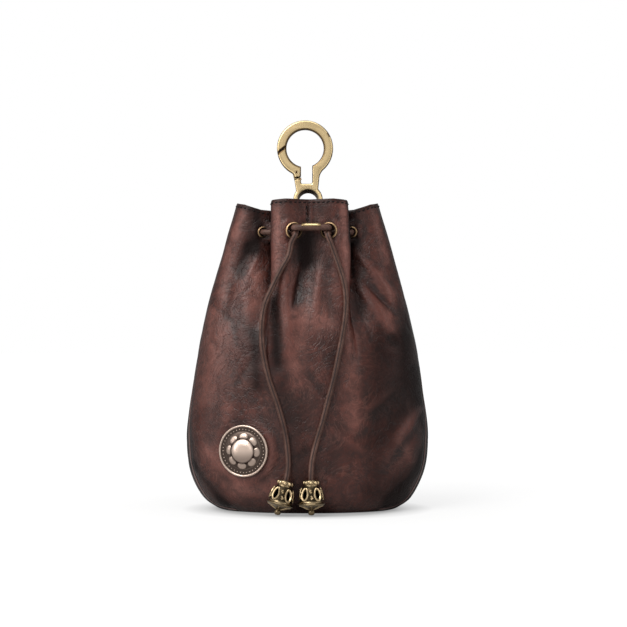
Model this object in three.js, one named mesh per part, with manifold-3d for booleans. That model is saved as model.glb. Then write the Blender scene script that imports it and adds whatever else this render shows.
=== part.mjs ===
// Drawstring pouch: two leather panels gathered by a lace,
// with brass eyelets, bell beads, a concho and a snap hook.
// Millimetres, +Z up, the front faces -Y, and the origin is at the middle of the base.
import * as THREE from "three";
import { mergeVertices } from "three/addons/utils/BufferGeometryUtils.js";
import Module from "manifold-3d";

const wasm = await Module();
wasm.setup();

const GAP = 0.3; // clearance between neighbouring pieces
const WALL = 1.8; // leather thickness

// Height, half-width, half-depth and share of the gather at each level, from the base seam to the rim
const LEVELS = [
  { z: 0, halfWidth: 29, halfDepth: 0, gather: 0 },
  { z: 0, halfWidth: 32.5, halfDepth: 10, gather: 0 },
  { z: 0, halfWidth: 35.5, halfDepth: 18, gather: 0 },
  { z: 2.2, halfWidth: 39.5, halfDepth: 21, gather: 0 },
  { z: 6, halfWidth: 45, halfDepth: 23.5, gather: 0 },
  { z: 13, halfWidth: 50, halfDepth: 25.4, gather: 0 },
  { z: 22, halfWidth: 53.1, halfDepth: 26.4, gather: 0 },
  { z: 32, halfWidth: 54.3, halfDepth: 26.7, gather: 0 },
  { z: 42, halfWidth: 53.8, halfDepth: 26.5, gather: 0 },
  { z: 53, halfWidth: 52.1, halfDepth: 26.1, gather: 0.01 },
  { z: 64, halfWidth: 50.5, halfDepth: 25.5, gather: 0.06 },
  { z: 75, halfWidth: 48.5, halfDepth: 24.8, gather: 0.16 },
  { z: 84, halfWidth: 46.5, halfDepth: 24.2, gather: 0.29 },
  { z: 93, halfWidth: 44.4, halfDepth: 23.5, gather: 0.46 },
  { z: 101, halfWidth: 42.3, halfDepth: 22.8, gather: 0.64 },
  { z: 109, halfWidth: 40, halfDepth: 22, gather: 0.82 },
  { z: 117, halfWidth: 37.8, halfDepth: 21.3, gather: 0.95 },
  { z: 124.5, halfWidth: 35.7, halfDepth: 20.8, gather: 1 },
  { z: 131.5, halfWidth: 33.6, halfDepth: 20.5, gather: 1 },
  { z: 138.2, halfWidth: 31.7, halfDepth: 20.4, gather: 1 },
];
const RIM = LEVELS.at(-1);

// The folds of the mouth from front centre to back centre, one row for each turn of the wall:
// angle on the plain oval below, place at the gathered rim, share that widens with the pouch,
// and drop of the rim there
const FOLDS = [
  { name: "frontCentre", angle: 0, x: 0, y: -18.4, spread: 0, drop: 0.3 },
  { name: "frontRidge", angle: 12, x: 10.6, y: -20.4, spread: 0.15, drop: 0 },
  { name: "frontCorner", angle: 21, x: 16.8, y: -17.2, spread: 0.25, drop: 0.6 },
  { name: "frontSide", angle: 25, x: 14.5, y: -9.2, spread: 0.3, drop: 2.4 },
  { name: "frontValley", angle: 29, x: 11.4, y: -3.2, spread: 0.2, drop: 5 },
  { name: "frontWall", angle: 42, x: 20.6, y: -6.6, spread: 0.3, drop: 3.6 },
  { name: "wingFront", angle: 62, x: 28, y: -5.6, spread: 0.8, drop: 1.8 },
  { name: "wingCrest", angle: 90, x: 31.7, y: 0, spread: 1, drop: 0.8 },
  { name: "wingBack", angle: 118, x: 28, y: 5.8, spread: 0.8, drop: 1.8 },
  { name: "backWall", angle: 138, x: 20.6, y: 7.2, spread: 0.3, drop: 3.6 },
  { name: "backValley", angle: 151, x: 11.4, y: 4.6, spread: 0.2, drop: 5 },
  { name: "backSide", angle: 155, x: 14.4, y: 10.2, spread: 0.1, drop: 2.4 },
  { name: "backCorner", angle: 159, x: 16.6, y: 17.4, spread: 0, drop: 0.6 },
  { name: "backRidge", angle: 168, x: 10, y: 20.4, spread: 0, drop: 0 },
  { name: "backCentre", angle: 180, x: 0, y: 18.8, spread: 0, drop: 0.3 },
];
const STEPS_PER_FOLD = 2; // mesh steps from one row to the next
const FRONT_FOLD_ENDS = 28; // angle where the front fold turns inwards
const FRONT_SHIFT = 0.9; // the front fold stands a little to the right at the rim
const FRONT_LEAN = 0.03; // and more so below it, by this share of the height
const DROP_FROM = 104; // height where the rim's drop begins

// Soft folds and dents of the front: a line from one place to another, its half-width and its height
const DENTS = [
  { name: "leftRidge", x0: -11.5, z0: 120, x1: -9, z1: 70, half: 4.5, high: 1.1 },
  { name: "rightRidge", x0: 15, z0: 118, x1: 16.5, z1: 72, half: 4.5, high: 1.2 },
  { name: "centreCrease", x0: 1.5, z0: 116, x1: -6, z1: 88, half: 4.5, high: -1.7 },
  { name: "leftEyeletCrease", x0: -25, z0: 118, x1: -38, z1: 94, half: 3.5, high: -1.1 },
  { name: "rightEyeletRidge", x0: 26, z0: 116, x1: 38, z1: 74, half: 5, high: 1.1 },
  { name: "rightLowerFold", x0: 51, z0: 47, x1: 33, z1: 26, half: 4.5, high: 1.5 },
  { name: "rightLowerDent", x0: 46, z0: 60, x1: 30, z1: 38, half: 6, high: -1.1 },
  { name: "centreFold", x0: -11, z0: 62, x1: -5, z1: 40, half: 6, high: -0.9 },
];
const DENT_FADE = 0.15; // share of a half wave that each end of a dent leaves out

// Cast concho: place on the front, turn to the left, sizes, and the flat that it presses into the leather
const CONCHO = {
  x: -27.7,
  z: 27.7,
  turnDeg: 19,
  radius: 11.4,
  rim: 1,
  thick: 1.5,
  dome: 2.6,
  sectors: 24,
  petals: 8,
  sink: 0.4,
  flat: 0.5,
  fade: 5,
};

// Lace and what it passes through
const LACE = { radius: 1.2, sides: 8, height: 124, endSteps: 26, bridgeSteps: 16, heldSteps: 42 };
const FRONT_EYELET = { inner: 2.7, outer: 3.85, sides: 12, apart: 15.7 };
const SIDE_EYELET = { inner: 1.7, outer: 2.6, sides: 8, aside: 0.24 };
const EYELET = { tube: 0.35, flange: 0.7, bite: 0.2, bevel: 0.3, roomSides: 8, roomReach: 2.2 };
const STRANDS_APART = 2.7; // two strands share each front eyelet, one above the other
const INSIDE = -WALL - 1.5; // how far behind the wall's face the lace clears an inner flange
const OUTSIDE = 1.7; // how far in front of the wall's face it turns
const CLEAR_OF_FLANGE = { out: 1.3, down: 0.4 }; // a free end's bend past the outer flange
const BRIDGE = { out: 1.4, start: 0.2, pastSleeve: 0.6 }; // the strand between the front eyelets
const HELD = { aside: 0.7, back: 2.2, up: 0.2, flapOut: 1.3, forward: 0.3, arch: 1.2 }; // its bends
const SLEEVE = { x: 1.7, length: 8.4, outer: 1.9, inner: 1.5, reachDeg: 75, facets: 8 };

// Bell bead, measured down from its top
const BEAD = { height: 15.3, bore: 1.55, sides: 10, laceAbove: 1.5, lacedTo: 5 };
const BEAD_WINDOWS = { count: 5, sides: 6, radius: 1.4, stretch: 1.7, depth: 4, down: 6.1, out: 4.8 };
const BEADS = {
  left: { top: [-9.2, -30.6, 15.4], tip: [-13.2, -31.4, 0.6] },
  right: { top: [1.6, -30.8, 15.7], tip: [1.8, -31.2, 0.4] },
};

// The free ends of the lace, from the front eyelets down to the beads
const FREE_ENDS = {
  left: [
    [-6.9, -23.3, 118.6],
    [-8.1, -23.5, 113],
    [-11.5, -24.1, 106.7],
    [-15.6, -24.3, 98.4],
    [-18.4, -24.4, 91.9],
    [-19.7, -24.5, 84.4],
    [-19.7, -24.8, 74.8],
    [-18.4, -25.3, 66.1],
    [-16.2, -26, 57.5],
    [-12.8, -26.9, 47.8],
    [-9.9, -27.8, 37.2],
    [-8.6, -28.5, 29],
    [-8.2, -29.6, 21.5],
  ],
  right: [
    [10.2, -23.3, 118.6],
    [12.2, -23.5, 113],
    [13.9, -24.1, 108.1],
    [16, -24.5, 101],
    [16.9, -24.8, 93.5],
    [16.5, -25.3, 86.2],
    [15.1, -25.8, 77],
    [13.4, -26.4, 68.3],
    [11.5, -27, 59.2],
    [9.3, -27.6, 50.9],
    [6.7, -28.1, 40.9],
    [3.8, -28.6, 31.4],
    [2.1, -29.5, 24],
  ],
};

// Snap hook in the plane y = HOOK.y
const HOOK = {
  y: 12.5,
  depth: 3.5,
  ringX: -1.15,
  ringZ: 163,
  ringOuter: 12.8,
  ringInner: 8.85,
  legLeft: -6.05,
  legRight: 5.36,
  slotLeft: -3,
  slotRight: 2.6,
  slotBottom: 146.9,
  eyeX: 0.2,
  eyeZ: 139.6,
  eyeOuter: 6.7,
  eyeInner: 4.9,
  eyeBack: 4.3,
  eyeSlant: 1.2,
  legBend: 149.5,
  footLeft: -5.2,
  footRight: 4.75,
  foot: 143.3,
  cutPast: 1,
  facets: 15,
  smallFacets: 7,
};
const GATE = {
  pivotX: -5.1,
  pivotZ: 152.1,
  knuckle: 2.75,
  bottom: 149.35,
  noseInner: [-8.5, 164.75],
  noseOuter: [-14.9, 159.75],
  right: -0.2,
  rightDrop: 4,
  slot: 1.8,
  tongue: 1.2,
  tongueRadius: 1.8,
  tongueFoot: 1.6,
  forkClear: 0.4,
  pin: 0.75,
  pinShort: 0.2,
};
const HANGER = { width: 6, thick: 1.3, bottom: 112, offWall: 0.5, pinch: 6, backPinch: 2, lip: 0.6 };

// Closed three.js geometry to a solid and back
function solid(geometry) {
  const bare = geometry.clone();
  bare.deleteAttribute("normal");
  bare.deleteAttribute("uv");
  const merged = mergeVertices(bare, 1e-4);
  return new wasm.Manifold(
    new wasm.Mesh({
      numProp: 3,
      vertProperties: new Float32Array(merged.attributes.position.array),
      triVerts: new Uint32Array(merged.index.array),
    }),
  );
}

function geometryOf(body) {
  const mesh = body.getMesh();
  const geometry = new THREE.BufferGeometry();
  geometry.setAttribute("position", new THREE.BufferAttribute(mesh.vertProperties, 3));
  geometry.setIndex(new THREE.BufferAttribute(mesh.triVerts, 1));
  geometry.computeVertexNormals();
  return geometry;
}

// A round solid from its profile of [radius, height], turned about +Y
function turned(profile, sides) {
  return new THREE.LatheGeometry(
    profile.map(([r, y]) => new THREE.Vector2(r, y)),
    sides,
  );
}

// A plain cylinder along +Y between two heights, as a cutter
function drum(radius, from, to, sides) {
  return turned(
    [
      [0, from],
      [radius, from],
      [radius, to],
      [0, to],
    ],
    sides,
  );
}

// A lace along hand-placed points
function laceAlong(points, steps) {
  const section = new THREE.Shape();
  for (let i = 0; i < LACE.sides; i++) {
    const turn = (2 * Math.PI * i) / LACE.sides;
    const corner = [LACE.radius * Math.cos(turn), LACE.radius * Math.sin(turn)];
    section[i ? "lineTo" : "moveTo"](...corner);
  }
  const path = new THREE.CatmullRomCurve3(points.map(([x, y, z]) => new THREE.Vector3(x, y, z)));
  return new THREE.ExtrudeGeometry(section, { steps, bevelEnabled: false, extrudePath: path });
}

// Turns an outline drawn in x and y, with its depth along z, to y and z with its depth along x
const ALONG_X = new THREE.Matrix4().makeBasis(
  new THREE.Vector3(0, 1, 0),
  new THREE.Vector3(0, 0, 1),
  new THREE.Vector3(1, 0, 0),
);

const smooth = (from, to, value) => THREE.MathUtils.smoothstep(value, from, to);

// The turns of the wall all the way round, from the left side seam over the front and back again
function turnsRound() {
  const left = FOLDS.slice(1, -1).map((fold) => ({ ...fold, side: -1 }));
  const right = FOLDS.map((fold) => ({ ...fold, side: 1 }));
  const crest = left.findIndex((fold) => fold.name === "wingCrest");
  const frontLeft = left.slice(0, crest + 1).reverse();
  const backLeft = left.slice(crest + 1).reverse();
  return [...frontLeft, ...right, ...backLeft];
}
const TURNS = turnsRound();

// The place of one turn of the wall at a level, in plan
function turnAt(turn, level) {
  const angle = THREE.MathUtils.degToRad(turn.angle);
  const plainX = level.halfWidth * Math.sin(angle);
  const plainY = -level.halfDepth * Math.cos(angle);
  const wider = 1 + turn.spread * (level.halfWidth / RIM.halfWidth - 1);
  const deeper = level.halfDepth / RIM.halfDepth;
  const lean = FRONT_SHIFT + FRONT_LEAN * (RIM.z - level.z);
  const shift = turn.angle < FRONT_FOLD_ENDS ? lean * turn.side : 0;
  const x = THREE.MathUtils.lerp(plainX, turn.x * wider + shift, level.gather);
  const y = THREE.MathUtils.lerp(plainY, turn.y * deeper, level.gather);
  return new THREE.Vector3(turn.side * x, y, 0);
}

// One level's closed outline: places, outward directions and rim drops, step by step
function outlineAt(level) {
  const line = new THREE.CatmullRomCurve3(
    TURNS.map((turn) => turnAt(turn, level)),
    true,
    "centripetal",
  );
  const found = [];
  TURNS.forEach((turn, i) => {
    const next = TURNS[(i + 1) % TURNS.length];
    for (let step = 0; step < STEPS_PER_FOLD; step++) {
      const share = step / STEPS_PER_FOLD;
      const at = (i + share) / TURNS.length;
      const place = line.getPoint(at);
      const along = line.getTangent(at);
      const drop = THREE.MathUtils.lerp(turn.drop, next.drop, smooth(0, 1, share));
      found.push({ place, out: new THREE.Vector2(along.y, -along.x).normalize(), drop });
    }
  });
  return found;
}

// How far the front's soft folds push the wall out at a place
function dentAt(x, z) {
  let push = 0;
  for (const dent of DENTS) {
    const dx = dent.x1 - dent.x0;
    const dz = dent.z1 - dent.z0;
    const along = ((x - dent.x0) * dx + (z - dent.z0) * dz) / (dx * dx + dz * dz);
    const near = THREE.MathUtils.clamp(along, 0, 1);
    const away = Math.hypot(x - dent.x0 - near * dx, z - dent.z0 - near * dz);
    const wave = Math.sin(Math.PI * THREE.MathUtils.lerp(DENT_FADE, 1 - DENT_FADE, near));
    push += dent.high * Math.exp(-((away / dent.half) ** 2)) * wave;
  }
  return push;
}

const conchoTurn = THREE.MathUtils.degToRad(CONCHO.turnDeg);
const conchoOut = new THREE.Vector3(-Math.sin(conchoTurn), -Math.cos(conchoTurn), 0);

// The concho's seat on the wall, where the leather is pressed flat
function conchoSeat() {
  const level = LEVELS.find((row) => row.z >= CONCHO.z);
  const share = CONCHO.x / level.halfWidth;
  const y = -level.halfDepth * Math.sqrt(1 - share * share);
  return new THREE.Vector3(CONCHO.x, y, CONCHO.z).addScaledVector(conchoOut, -CONCHO.sink);
}
const conchoPlace = conchoSeat();

function pressFlat(place) {
  const from = place.clone().sub(conchoPlace);
  const high = from.dot(conchoOut);
  const away = from.addScaledVector(conchoOut, -high).length();
  const press = 1 - smooth(CONCHO.radius + CONCHO.flat, CONCHO.radius + CONCHO.fade, away);
  return place.clone().addScaledVector(conchoOut, -press * high);
}

// Outer and inner places of the wall at each level and step round it
function wallGrid() {
  const middle = (level) => (level.halfWidth + level.halfDepth) / 2;
  return LEVELS.map((level, row) => {
    const above = LEVELS[Math.min(row + 1, LEVELS.length - 1)];
    const below = LEVELS[Math.max(row - 1, 0)];
    const rise = new THREE.Vector2(middle(above) - middle(below), above.z - below.z).normalize();
    const dropShare = smooth(DROP_FROM, RIM.z, level.z);
    return outlineAt(level).map(({ place, out, drop }) => {
      const push = level.z > 0 ? dentAt(place.x, level.z) * Math.max(0, -out.y) : 0;
      const faces = new THREE.Vector3(out.x * rise.y, out.y * rise.y, -rise.x);
      const outer = new THREE.Vector3(place.x, place.y, level.z - drop * dropShare);
      outer.x += out.x * push * rise.y;
      outer.y += out.y * push * rise.y;
      const flat = place.y < 0 && level.z > 0 ? pressFlat(outer) : outer;
      return { outer: flat, inner: flat.clone().addScaledVector(faces, -WALL), out: faces };
    });
  });
}
const WALLS = wallGrid();

// Step numbers of a named turn of the wall
function stepOf(name, side) {
  return STEPS_PER_FOLD * TURNS.findIndex((turn) => turn.name === name && turn.side === side);
}
const leftSeam = 0;
const rightSeam = stepOf("wingCrest", 1);
const stepsRound = WALLS[0].length;

// One leather panel between two side seams, shifted clear of the other panel
function panelSolid(first, last, shift) {
  const columns = [];
  for (let step = first; step <= last; step++) columns.push(step % stepsRound);
  const wide = columns.length;
  const high = WALLS.length;
  const places = [];
  for (const skin of ["outer", "inner"])
    for (const row of WALLS)
      for (const column of columns) {
        const { x, y, z } = row[column][skin];
        places.push(x, y + shift, z);
      }
  const index = [];
  const at = (skin, row, column) => (skin * high + row) * wide + column;
  const quad = (a, b, c, d) => index.push(a, b, c, a, c, d);
  for (let row = 0; row + 1 < high; row++)
    for (let column = 0; column + 1 < wide; column++) {
      const up = row + 1;
      const next = column + 1;
      quad(at(0, row, column), at(0, row, next), at(0, up, next), at(0, up, column));
      quad(at(1, row, column), at(1, up, column), at(1, up, next), at(1, row, next));
    }
  for (let column = 0; column + 1 < wide; column++) {
    const next = column + 1;
    const top = high - 1;
    quad(at(0, 0, column), at(1, 0, column), at(1, 0, next), at(0, 0, next));
    quad(at(0, top, column), at(0, top, next), at(1, top, next), at(1, top, column));
  }
  for (let row = 0; row + 1 < high; row++) {
    const up = row + 1;
    const end = wide - 1;
    quad(at(0, row, 0), at(0, up, 0), at(1, up, 0), at(1, row, 0));
    quad(at(0, row, end), at(1, row, end), at(1, up, end), at(0, up, end));
  }
  const geometry = new THREE.BufferGeometry();
  geometry.setAttribute("position", new THREE.Float32BufferAttribute(places, 3));
  geometry.setIndex(index);
  return solid(geometry);
}

// The wall's place and outward direction at the lace's height, at a step round it
function wallAtLace(step, height = LACE.height) {
  const upper = LEVELS.findIndex((level) => level.z >= height);
  const share = (height - LEVELS[upper - 1].z) / (LEVELS[upper].z - LEVELS[upper - 1].z);
  const low = Math.floor(step);
  const mix = (row, key) =>
    row[low % stepsRound][key].clone().lerp(row[(low + 1) % stepsRound][key], step - low);
  const place = mix(WALLS[upper - 1], "outer").lerp(mix(WALLS[upper], "outer"), share);
  const out = mix(WALLS[upper - 1], "out").lerp(mix(WALLS[upper], "out"), share);
  out.z = 0;
  place.z = height;
  return { place, out: out.normalize() };
}

// The step of the front fold that lies at a given x
function frontStep(x) {
  const first = stepOf("frontCorner", -1);
  const last = stepOf("frontCorner", 1);
  const stride = 0.02;
  for (let step = first; step < last; step += stride) {
    if (wallAtLace(step).place.x >= x) return step;
  }
  return last;
}

// The eyelets: two at the front of the fold, and four where the lace passes each side's folds
const SIDE_FOLDS = { flap: "frontSide", wing_front: "frontWall", wing_back: "backWall", back: "backSide" };
const EYELETS = [];
for (const [word, side] of Object.entries({ left: -1, right: 1 })) {
  const front = frontStep(SLEEVE.x + (side * FRONT_EYELET.apart) / 2);
  EYELETS.push({ name: `eyelet_front_${word}`, step: front, size: FRONT_EYELET });
  for (const [part, fold] of Object.entries(SIDE_FOLDS))
    EYELETS.push({
      name: `eyelet_${part}_${word}`,
      step: stepOf(fold, side) - (part.startsWith("wing") ? side * SIDE_EYELET.aside : 0),
      size: SIDE_EYELET,
    });
}
for (const eyelet of EYELETS) Object.assign(eyelet, wallAtLace(eyelet.step));

// Places a piece whose axis is +Y along a direction at a place
function seat(mesh, place, out) {
  mesh.position.copy(place);
  mesh.quaternion.setFromUnitVectors(new THREE.Vector3(0, 1, 0), out);
  return mesh;
}

function seated(geometry, place, out) {
  const holder = seat(new THREE.Object3D(), place, out);
  holder.updateMatrix();
  return geometry.clone().applyMatrix4(holder.matrix);
}

// An eyelet: outer flange, tube through the wall and inner flange, with the wall between them
function eyeletGeometry({ inner, outer, sides }) {
  const tube = inner + EYELET.tube;
  const top = GAP + EYELET.flange - EYELET.bite;
  const bottom = -WALL - top;
  return turned(
    [
      [inner, bottom],
      [outer - EYELET.bevel, bottom],
      [outer - EYELET.bevel, bottom + EYELET.flange],
      [tube, bottom + EYELET.flange],
      [tube, top - EYELET.flange],
      [outer, top - EYELET.flange],
      [outer - EYELET.bevel, top],
      [inner, top],
      [inner, bottom],
    ],
    sides,
  );
}

// The room that an eyelet takes out of the wall: a hole for its tube and a flat for each flange
function eyeletRoom({ inner, outer }) {
  const around = 1 / Math.cos(Math.PI / EYELET.roomSides);
  const tube = (inner + EYELET.tube + GAP) * around;
  const flange = (outer + GAP) * around;
  const reach = EYELET.roomReach;
  return turned(
    [
      [0, -WALL - reach],
      [flange, -WALL - reach],
      [flange, -WALL + EYELET.bite],
      [tube, -WALL + EYELET.bite],
      [tube, -EYELET.bite],
      [flange, -EYELET.bite],
      [flange, reach],
      [0, reach],
    ],
    EYELET.roomSides,
  );
}

// Concho: a plain rim, a sunk ring and a round boss in a ring of raised petals, its back on y = 0
function conchoGeometry() {
  const { sectors, petals } = CONCHO;
  const rings = [
    { r: 2.4, high: CONCHO.dome + 0.4, petal: 0 },
    { r: 4.4, high: CONCHO.dome - 0.2, petal: 0 },
    { r: 5, high: CONCHO.dome - 0.9, petal: 0 },
    { r: 6.3, high: CONCHO.dome - 0.75, petal: 0.35 },
    { r: 7.4, high: CONCHO.dome - 1, petal: 0.3 },
    { r: 8.1, high: CONCHO.thick - 0.5, petal: 0 },
    { r: CONCHO.radius - CONCHO.rim - 0.3, high: CONCHO.thick - 0.6, petal: 0 },
    { r: CONCHO.radius - CONCHO.rim, high: CONCHO.thick, petal: 0 },
    { r: CONCHO.radius - 0.35, high: CONCHO.thick, petal: 0 },
    { r: CONCHO.radius, high: CONCHO.thick - 0.4, petal: 0 },
    { r: CONCHO.radius, high: 0, petal: 0 },
  ];
  const places = [0, CONCHO.dome + 0.5, 0, 0, 0, 0];
  const index = [];
  rings.forEach(({ r, high, petal }) => {
    for (let sector = 0; sector < sectors; sector++) {
      const turn = (2 * Math.PI * sector) / sectors;
      places.push(r * Math.sin(turn), high + petal * Math.cos(petals * turn), r * Math.cos(turn));
    }
  });
  const at = (ring, sector) => 2 + ring * sectors + (sector % sectors);
  const last = rings.length - 1;
  for (let sector = 0; sector < sectors; sector++) {
    index.push(0, at(0, sector), at(0, sector + 1));
    index.push(1, at(last, sector + 1), at(last, sector));
    for (let ring = 0; ring < last; ring++) {
      index.push(at(ring, sector), at(ring + 1, sector), at(ring + 1, sector + 1));
      index.push(at(ring, sector), at(ring + 1, sector + 1), at(ring, sector + 1));
    }
  }
  const geometry = new THREE.BufferGeometry();
  geometry.setAttribute("position", new THREE.Float32BufferAttribute(places, 3));
  geometry.setIndex(index);
  return geometry;
}

// The room that the concho takes, so that the leather under it stays clear
function conchoRoom() {
  return drum(CONCHO.radius + GAP, 0, CONCHO.fade, CONCHO.sectors);
}

// Bell bead about +Y, its top at y = 0: collar, pierced flaring body, saucer, cone and ball tip
function beadGeometry() {
  const outside = [
    [0, -BEAD.height],
    [1.05, -BEAD.height + 0.3],
    [1.5, -BEAD.height + 1.3],
    [1.05, -BEAD.height + 2.4],
    [4.2, -11.3],
    [5.9, -10.6],
    [5.9, -9.9],
    [5.1, -9.3],
    [4.8, -6.2],
    [4.3, -3.6],
    [3.4, -2.7],
    [2.5, -2.35],
    [3, -1.7],
    [3, -0.6],
    [2.5, 0],
  ];
  const inside = [
    [BEAD.bore, 0],
    [BEAD.bore, -2.8],
    [2.9, -4],
    [3.6, -8.6],
    [0, -8.9],
  ];
  let bead = solid(turned([...outside, ...inside], BEAD.sides));
  const { count, sides, radius, stretch, depth, down, out } = BEAD_WINDOWS;
  for (let window = 0; window < count; window++) {
    const opening = new THREE.CylinderGeometry(radius, radius, depth, sides);
    opening.scale(1, 1, stretch);
    opening.rotateX(Math.PI / 2);
    opening.translate(0, -down, out);
    opening.rotateY((2 * Math.PI * window) / count);
    bead = bead.subtract(solid(opening));
  }
  return geometryOf(bead);
}

// A flat outline in x and z, given depth along y about the hook's plane
function plate(shape, depth, facets = HOOK.facets) {
  const options = { depth, bevelEnabled: false, curveSegments: facets };
  const geometry = new THREE.ExtrudeGeometry(shape, options);
  geometry.rotateX(Math.PI / 2);
  geometry.translate(0, HOOK.y + depth / 2, 0);
  return solid(geometry);
}

function disc(x, z, radius, depth) {
  const round = new THREE.Shape();
  round.absarc(x, z, radius, 0, 2 * Math.PI, false);
  return plate(round, depth, radius < HOOK.eyeInner ? HOOK.smallFacets : HOOK.facets);
}

function outlinePlate(corners, depth) {
  return plate(new THREE.Shape(corners.map(([x, z]) => new THREE.Vector2(x, z))), depth);
}

// The eye's hole, which narrows and slants down towards the back of the hook
function eyeHole(through) {
  const { eyeX, eyeZ, eyeInner, eyeBack, eyeSlant, depth, facets } = HOOK;
  const middle = (eyeInner + eyeBack) / 2;
  const flare = ((eyeInner - eyeBack) * through) / (2 * depth);
  const hole = new THREE.CylinderGeometry(middle - flare, middle + flare, through, 2 * facets);
  hole.applyMatrix4(new THREE.Matrix4().makeShear(0, 0, 0, -eyeSlant / depth, 0, 0));
  hole.translate(eyeX, HOOK.y, eyeZ - eyeSlant / 2);
  return solid(hole);
}

// The whole hook before its gate is cut free: ring, two legs with a slot between, and the eye
function hookBlank() {
  const { ringX, ringZ, legLeft, legRight, slotLeft, slotRight, slotBottom, depth } = HOOK;
  const through = depth + HOOK.cutPast;
  const legTop = ringZ - HOOK.ringInner;
  const legs = outlinePlate(
    [
      [HOOK.footLeft, HOOK.foot],
      [HOOK.footRight, HOOK.foot],
      [legRight, HOOK.legBend],
      [legRight, legTop],
      [legLeft, legTop],
      [legLeft, HOOK.legBend],
    ],
    depth,
  );
  const slot = outlinePlate(
    [
      [slotLeft, slotBottom],
      [slotRight, slotBottom],
      [slotRight, legTop + HOOK.cutPast],
      [slotLeft, legTop + HOOK.cutPast],
    ],
    through,
  );
  const eye = disc(HOOK.eyeX, HOOK.eyeZ, HOOK.eyeOuter, depth);
  return disc(ringX, ringZ, HOOK.ringOuter, depth)
    .add(legs)
    .add(eye)
    .subtract(disc(ringX, ringZ, HOOK.ringInner, through))
    .subtract(slot)
    .subtract(eyeHole(through));
}

// The part of the blank that swings: from the slanted nose cut down to the knuckle round the pin
function gateRegion(clear) {
  const { pivotX, pivotZ, knuckle, bottom, noseInner, noseOuter, right } = GATE;
  const deep = HOOK.depth + 2 * HOOK.cutPast;
  const body = outlinePlate(
    [
      [noseInner[0], noseInner[1] + clear],
      [noseOuter[0], noseOuter[1] + clear],
      [noseOuter[0], bottom - clear],
      [pivotX, bottom - clear],
      [pivotX, pivotZ],
      [right, pivotZ],
      [right, noseInner[1] - GATE.rightDrop],
    ],
    deep,
  );
  return body.add(disc(pivotX, pivotZ, knuckle + clear, deep));
}

// The frame's thin tongue that the gate's fork straddles
function tongue(radius, depth) {
  const { pivotX, pivotZ } = GATE;
  const foot = GATE.bottom - GATE.tongueFoot;
  const left = HOOK.legLeft + GAP;
  const right = pivotX + radius - 0.2;
  const neck = outlinePlate(
    [
      [left, foot],
      [right, foot],
      [right, pivotZ],
      [left, pivotZ],
    ],
    depth,
  );
  return neck.add(disc(pivotX, pivotZ, radius, depth));
}

function hookPieces() {
  const { pivotX, pivotZ, pin } = GATE;
  const blank = hookBlank();
  const bore = disc(pivotX, pivotZ, pin + GAP, HOOK.depth + HOOK.cutPast);
  const frame = blank
    .subtract(gateRegion(GAP))
    .add(tongue(GATE.tongueRadius, GATE.tongue))
    .subtract(bore);
  const reach = GATE.knuckle + HOOK.cutPast;
  const fork = tongue(GATE.tongueRadius + GATE.forkClear, GATE.slot).add(
    outlinePlate(
      [
        [pivotX - reach, pivotZ - GATE.knuckle - 2 * HOOK.cutPast],
        [pivotX + reach, pivotZ - GATE.knuckle - 2 * HOOK.cutPast],
        [pivotX + reach, pivotZ],
        [pivotX - reach, pivotZ],
      ],
      GATE.slot,
    ),
  );
  const gate = blank.intersect(gateRegion(0)).subtract(fork).subtract(bore);
  return { frame, gate, pinBody: disc(pivotX, pivotZ, pin, HOOK.depth - GATE.pinShort) };
}

// Hanger: a leather strip folded over the foot of the eye, its tails down the inside of the back
function hangerGeometry() {
  const { width, thick, bottom, offWall, pinch, backPinch, lip } = HANGER;
  const backStep = stepOf("backCentre", 1);
  const backFace = (z) => wallAtLace(backStep, z).place.y - WALL - offWall;
  const eyeFront = HOOK.y - HOOK.depth / 2 - GAP;
  const eyeBack = HOOK.y + HOOK.depth / 2 + GAP;
  const sag = HOOK.eyeInner - Math.sqrt(HOOK.eyeInner ** 2 - (width / 2) ** 2);
  const cavityTop = HOOK.eyeZ - HOOK.eyeInner + sag + GAP;
  const cavityBottom = HOOK.eyeZ - HOOK.eyeOuter - GAP;
  const tailFront = backFace(bottom) - 2 * thick;
  const outline = new THREE.Shape(
    [
      [eyeFront - thick, cavityBottom - lip],
      [tailFront, cavityBottom - pinch],
      [tailFront, bottom],
      [backFace(bottom), bottom],
      [backFace(cavityBottom), cavityBottom - backPinch],
      [eyeBack + thick, cavityBottom],
      [eyeBack + thick, cavityTop],
      [eyeBack, cavityTop + thick],
      [eyeFront, cavityTop + thick],
      [eyeFront - thick, cavityTop],
    ].map(([y, z]) => new THREE.Vector2(y, z)),
  );
  outline.holes.push(
    new THREE.Path(
      [
        [eyeFront, cavityBottom],
        [eyeFront, cavityTop],
        [eyeBack, cavityTop],
        [eyeBack, cavityBottom],
      ].map(([y, z]) => new THREE.Vector2(y, z)),
    ),
  );
  const geometry = new THREE.ExtrudeGeometry(outline, { depth: width, bevelEnabled: false });
  geometry.applyMatrix4(ALONG_X);
  geometry.translate(HOOK.eyeX - width / 2, 0, 0);
  return geometry;
}

// Materials
const leather = new THREE.MeshStandardMaterial({ color: 0x5a332c, roughness: 0.45, metalness: 0 });
const laceLeather = new THREE.MeshStandardMaterial({ color: 0x55423c, roughness: 0.6, metalness: 0 });
const brass = new THREE.MeshStandardMaterial({ color: 0xb8935a, roughness: 0.3, metalness: 1 });
const oldBrass = new THREE.MeshStandardMaterial({ color: 0x8a7445, roughness: 0.4, metalness: 1 });
const oldNickel = new THREE.MeshStandardMaterial({ color: 0x9c8578, roughness: 0.4, metalness: 1 });

const pouch = new THREE.Group();
pouch.name = "drawstring_pouch";

function addPiece(name, geometry, material) {
  const mesh = new THREE.Mesh(geometry, material.clone());
  mesh.name = name;
  pouch.add(mesh);
  return mesh;
}

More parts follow.
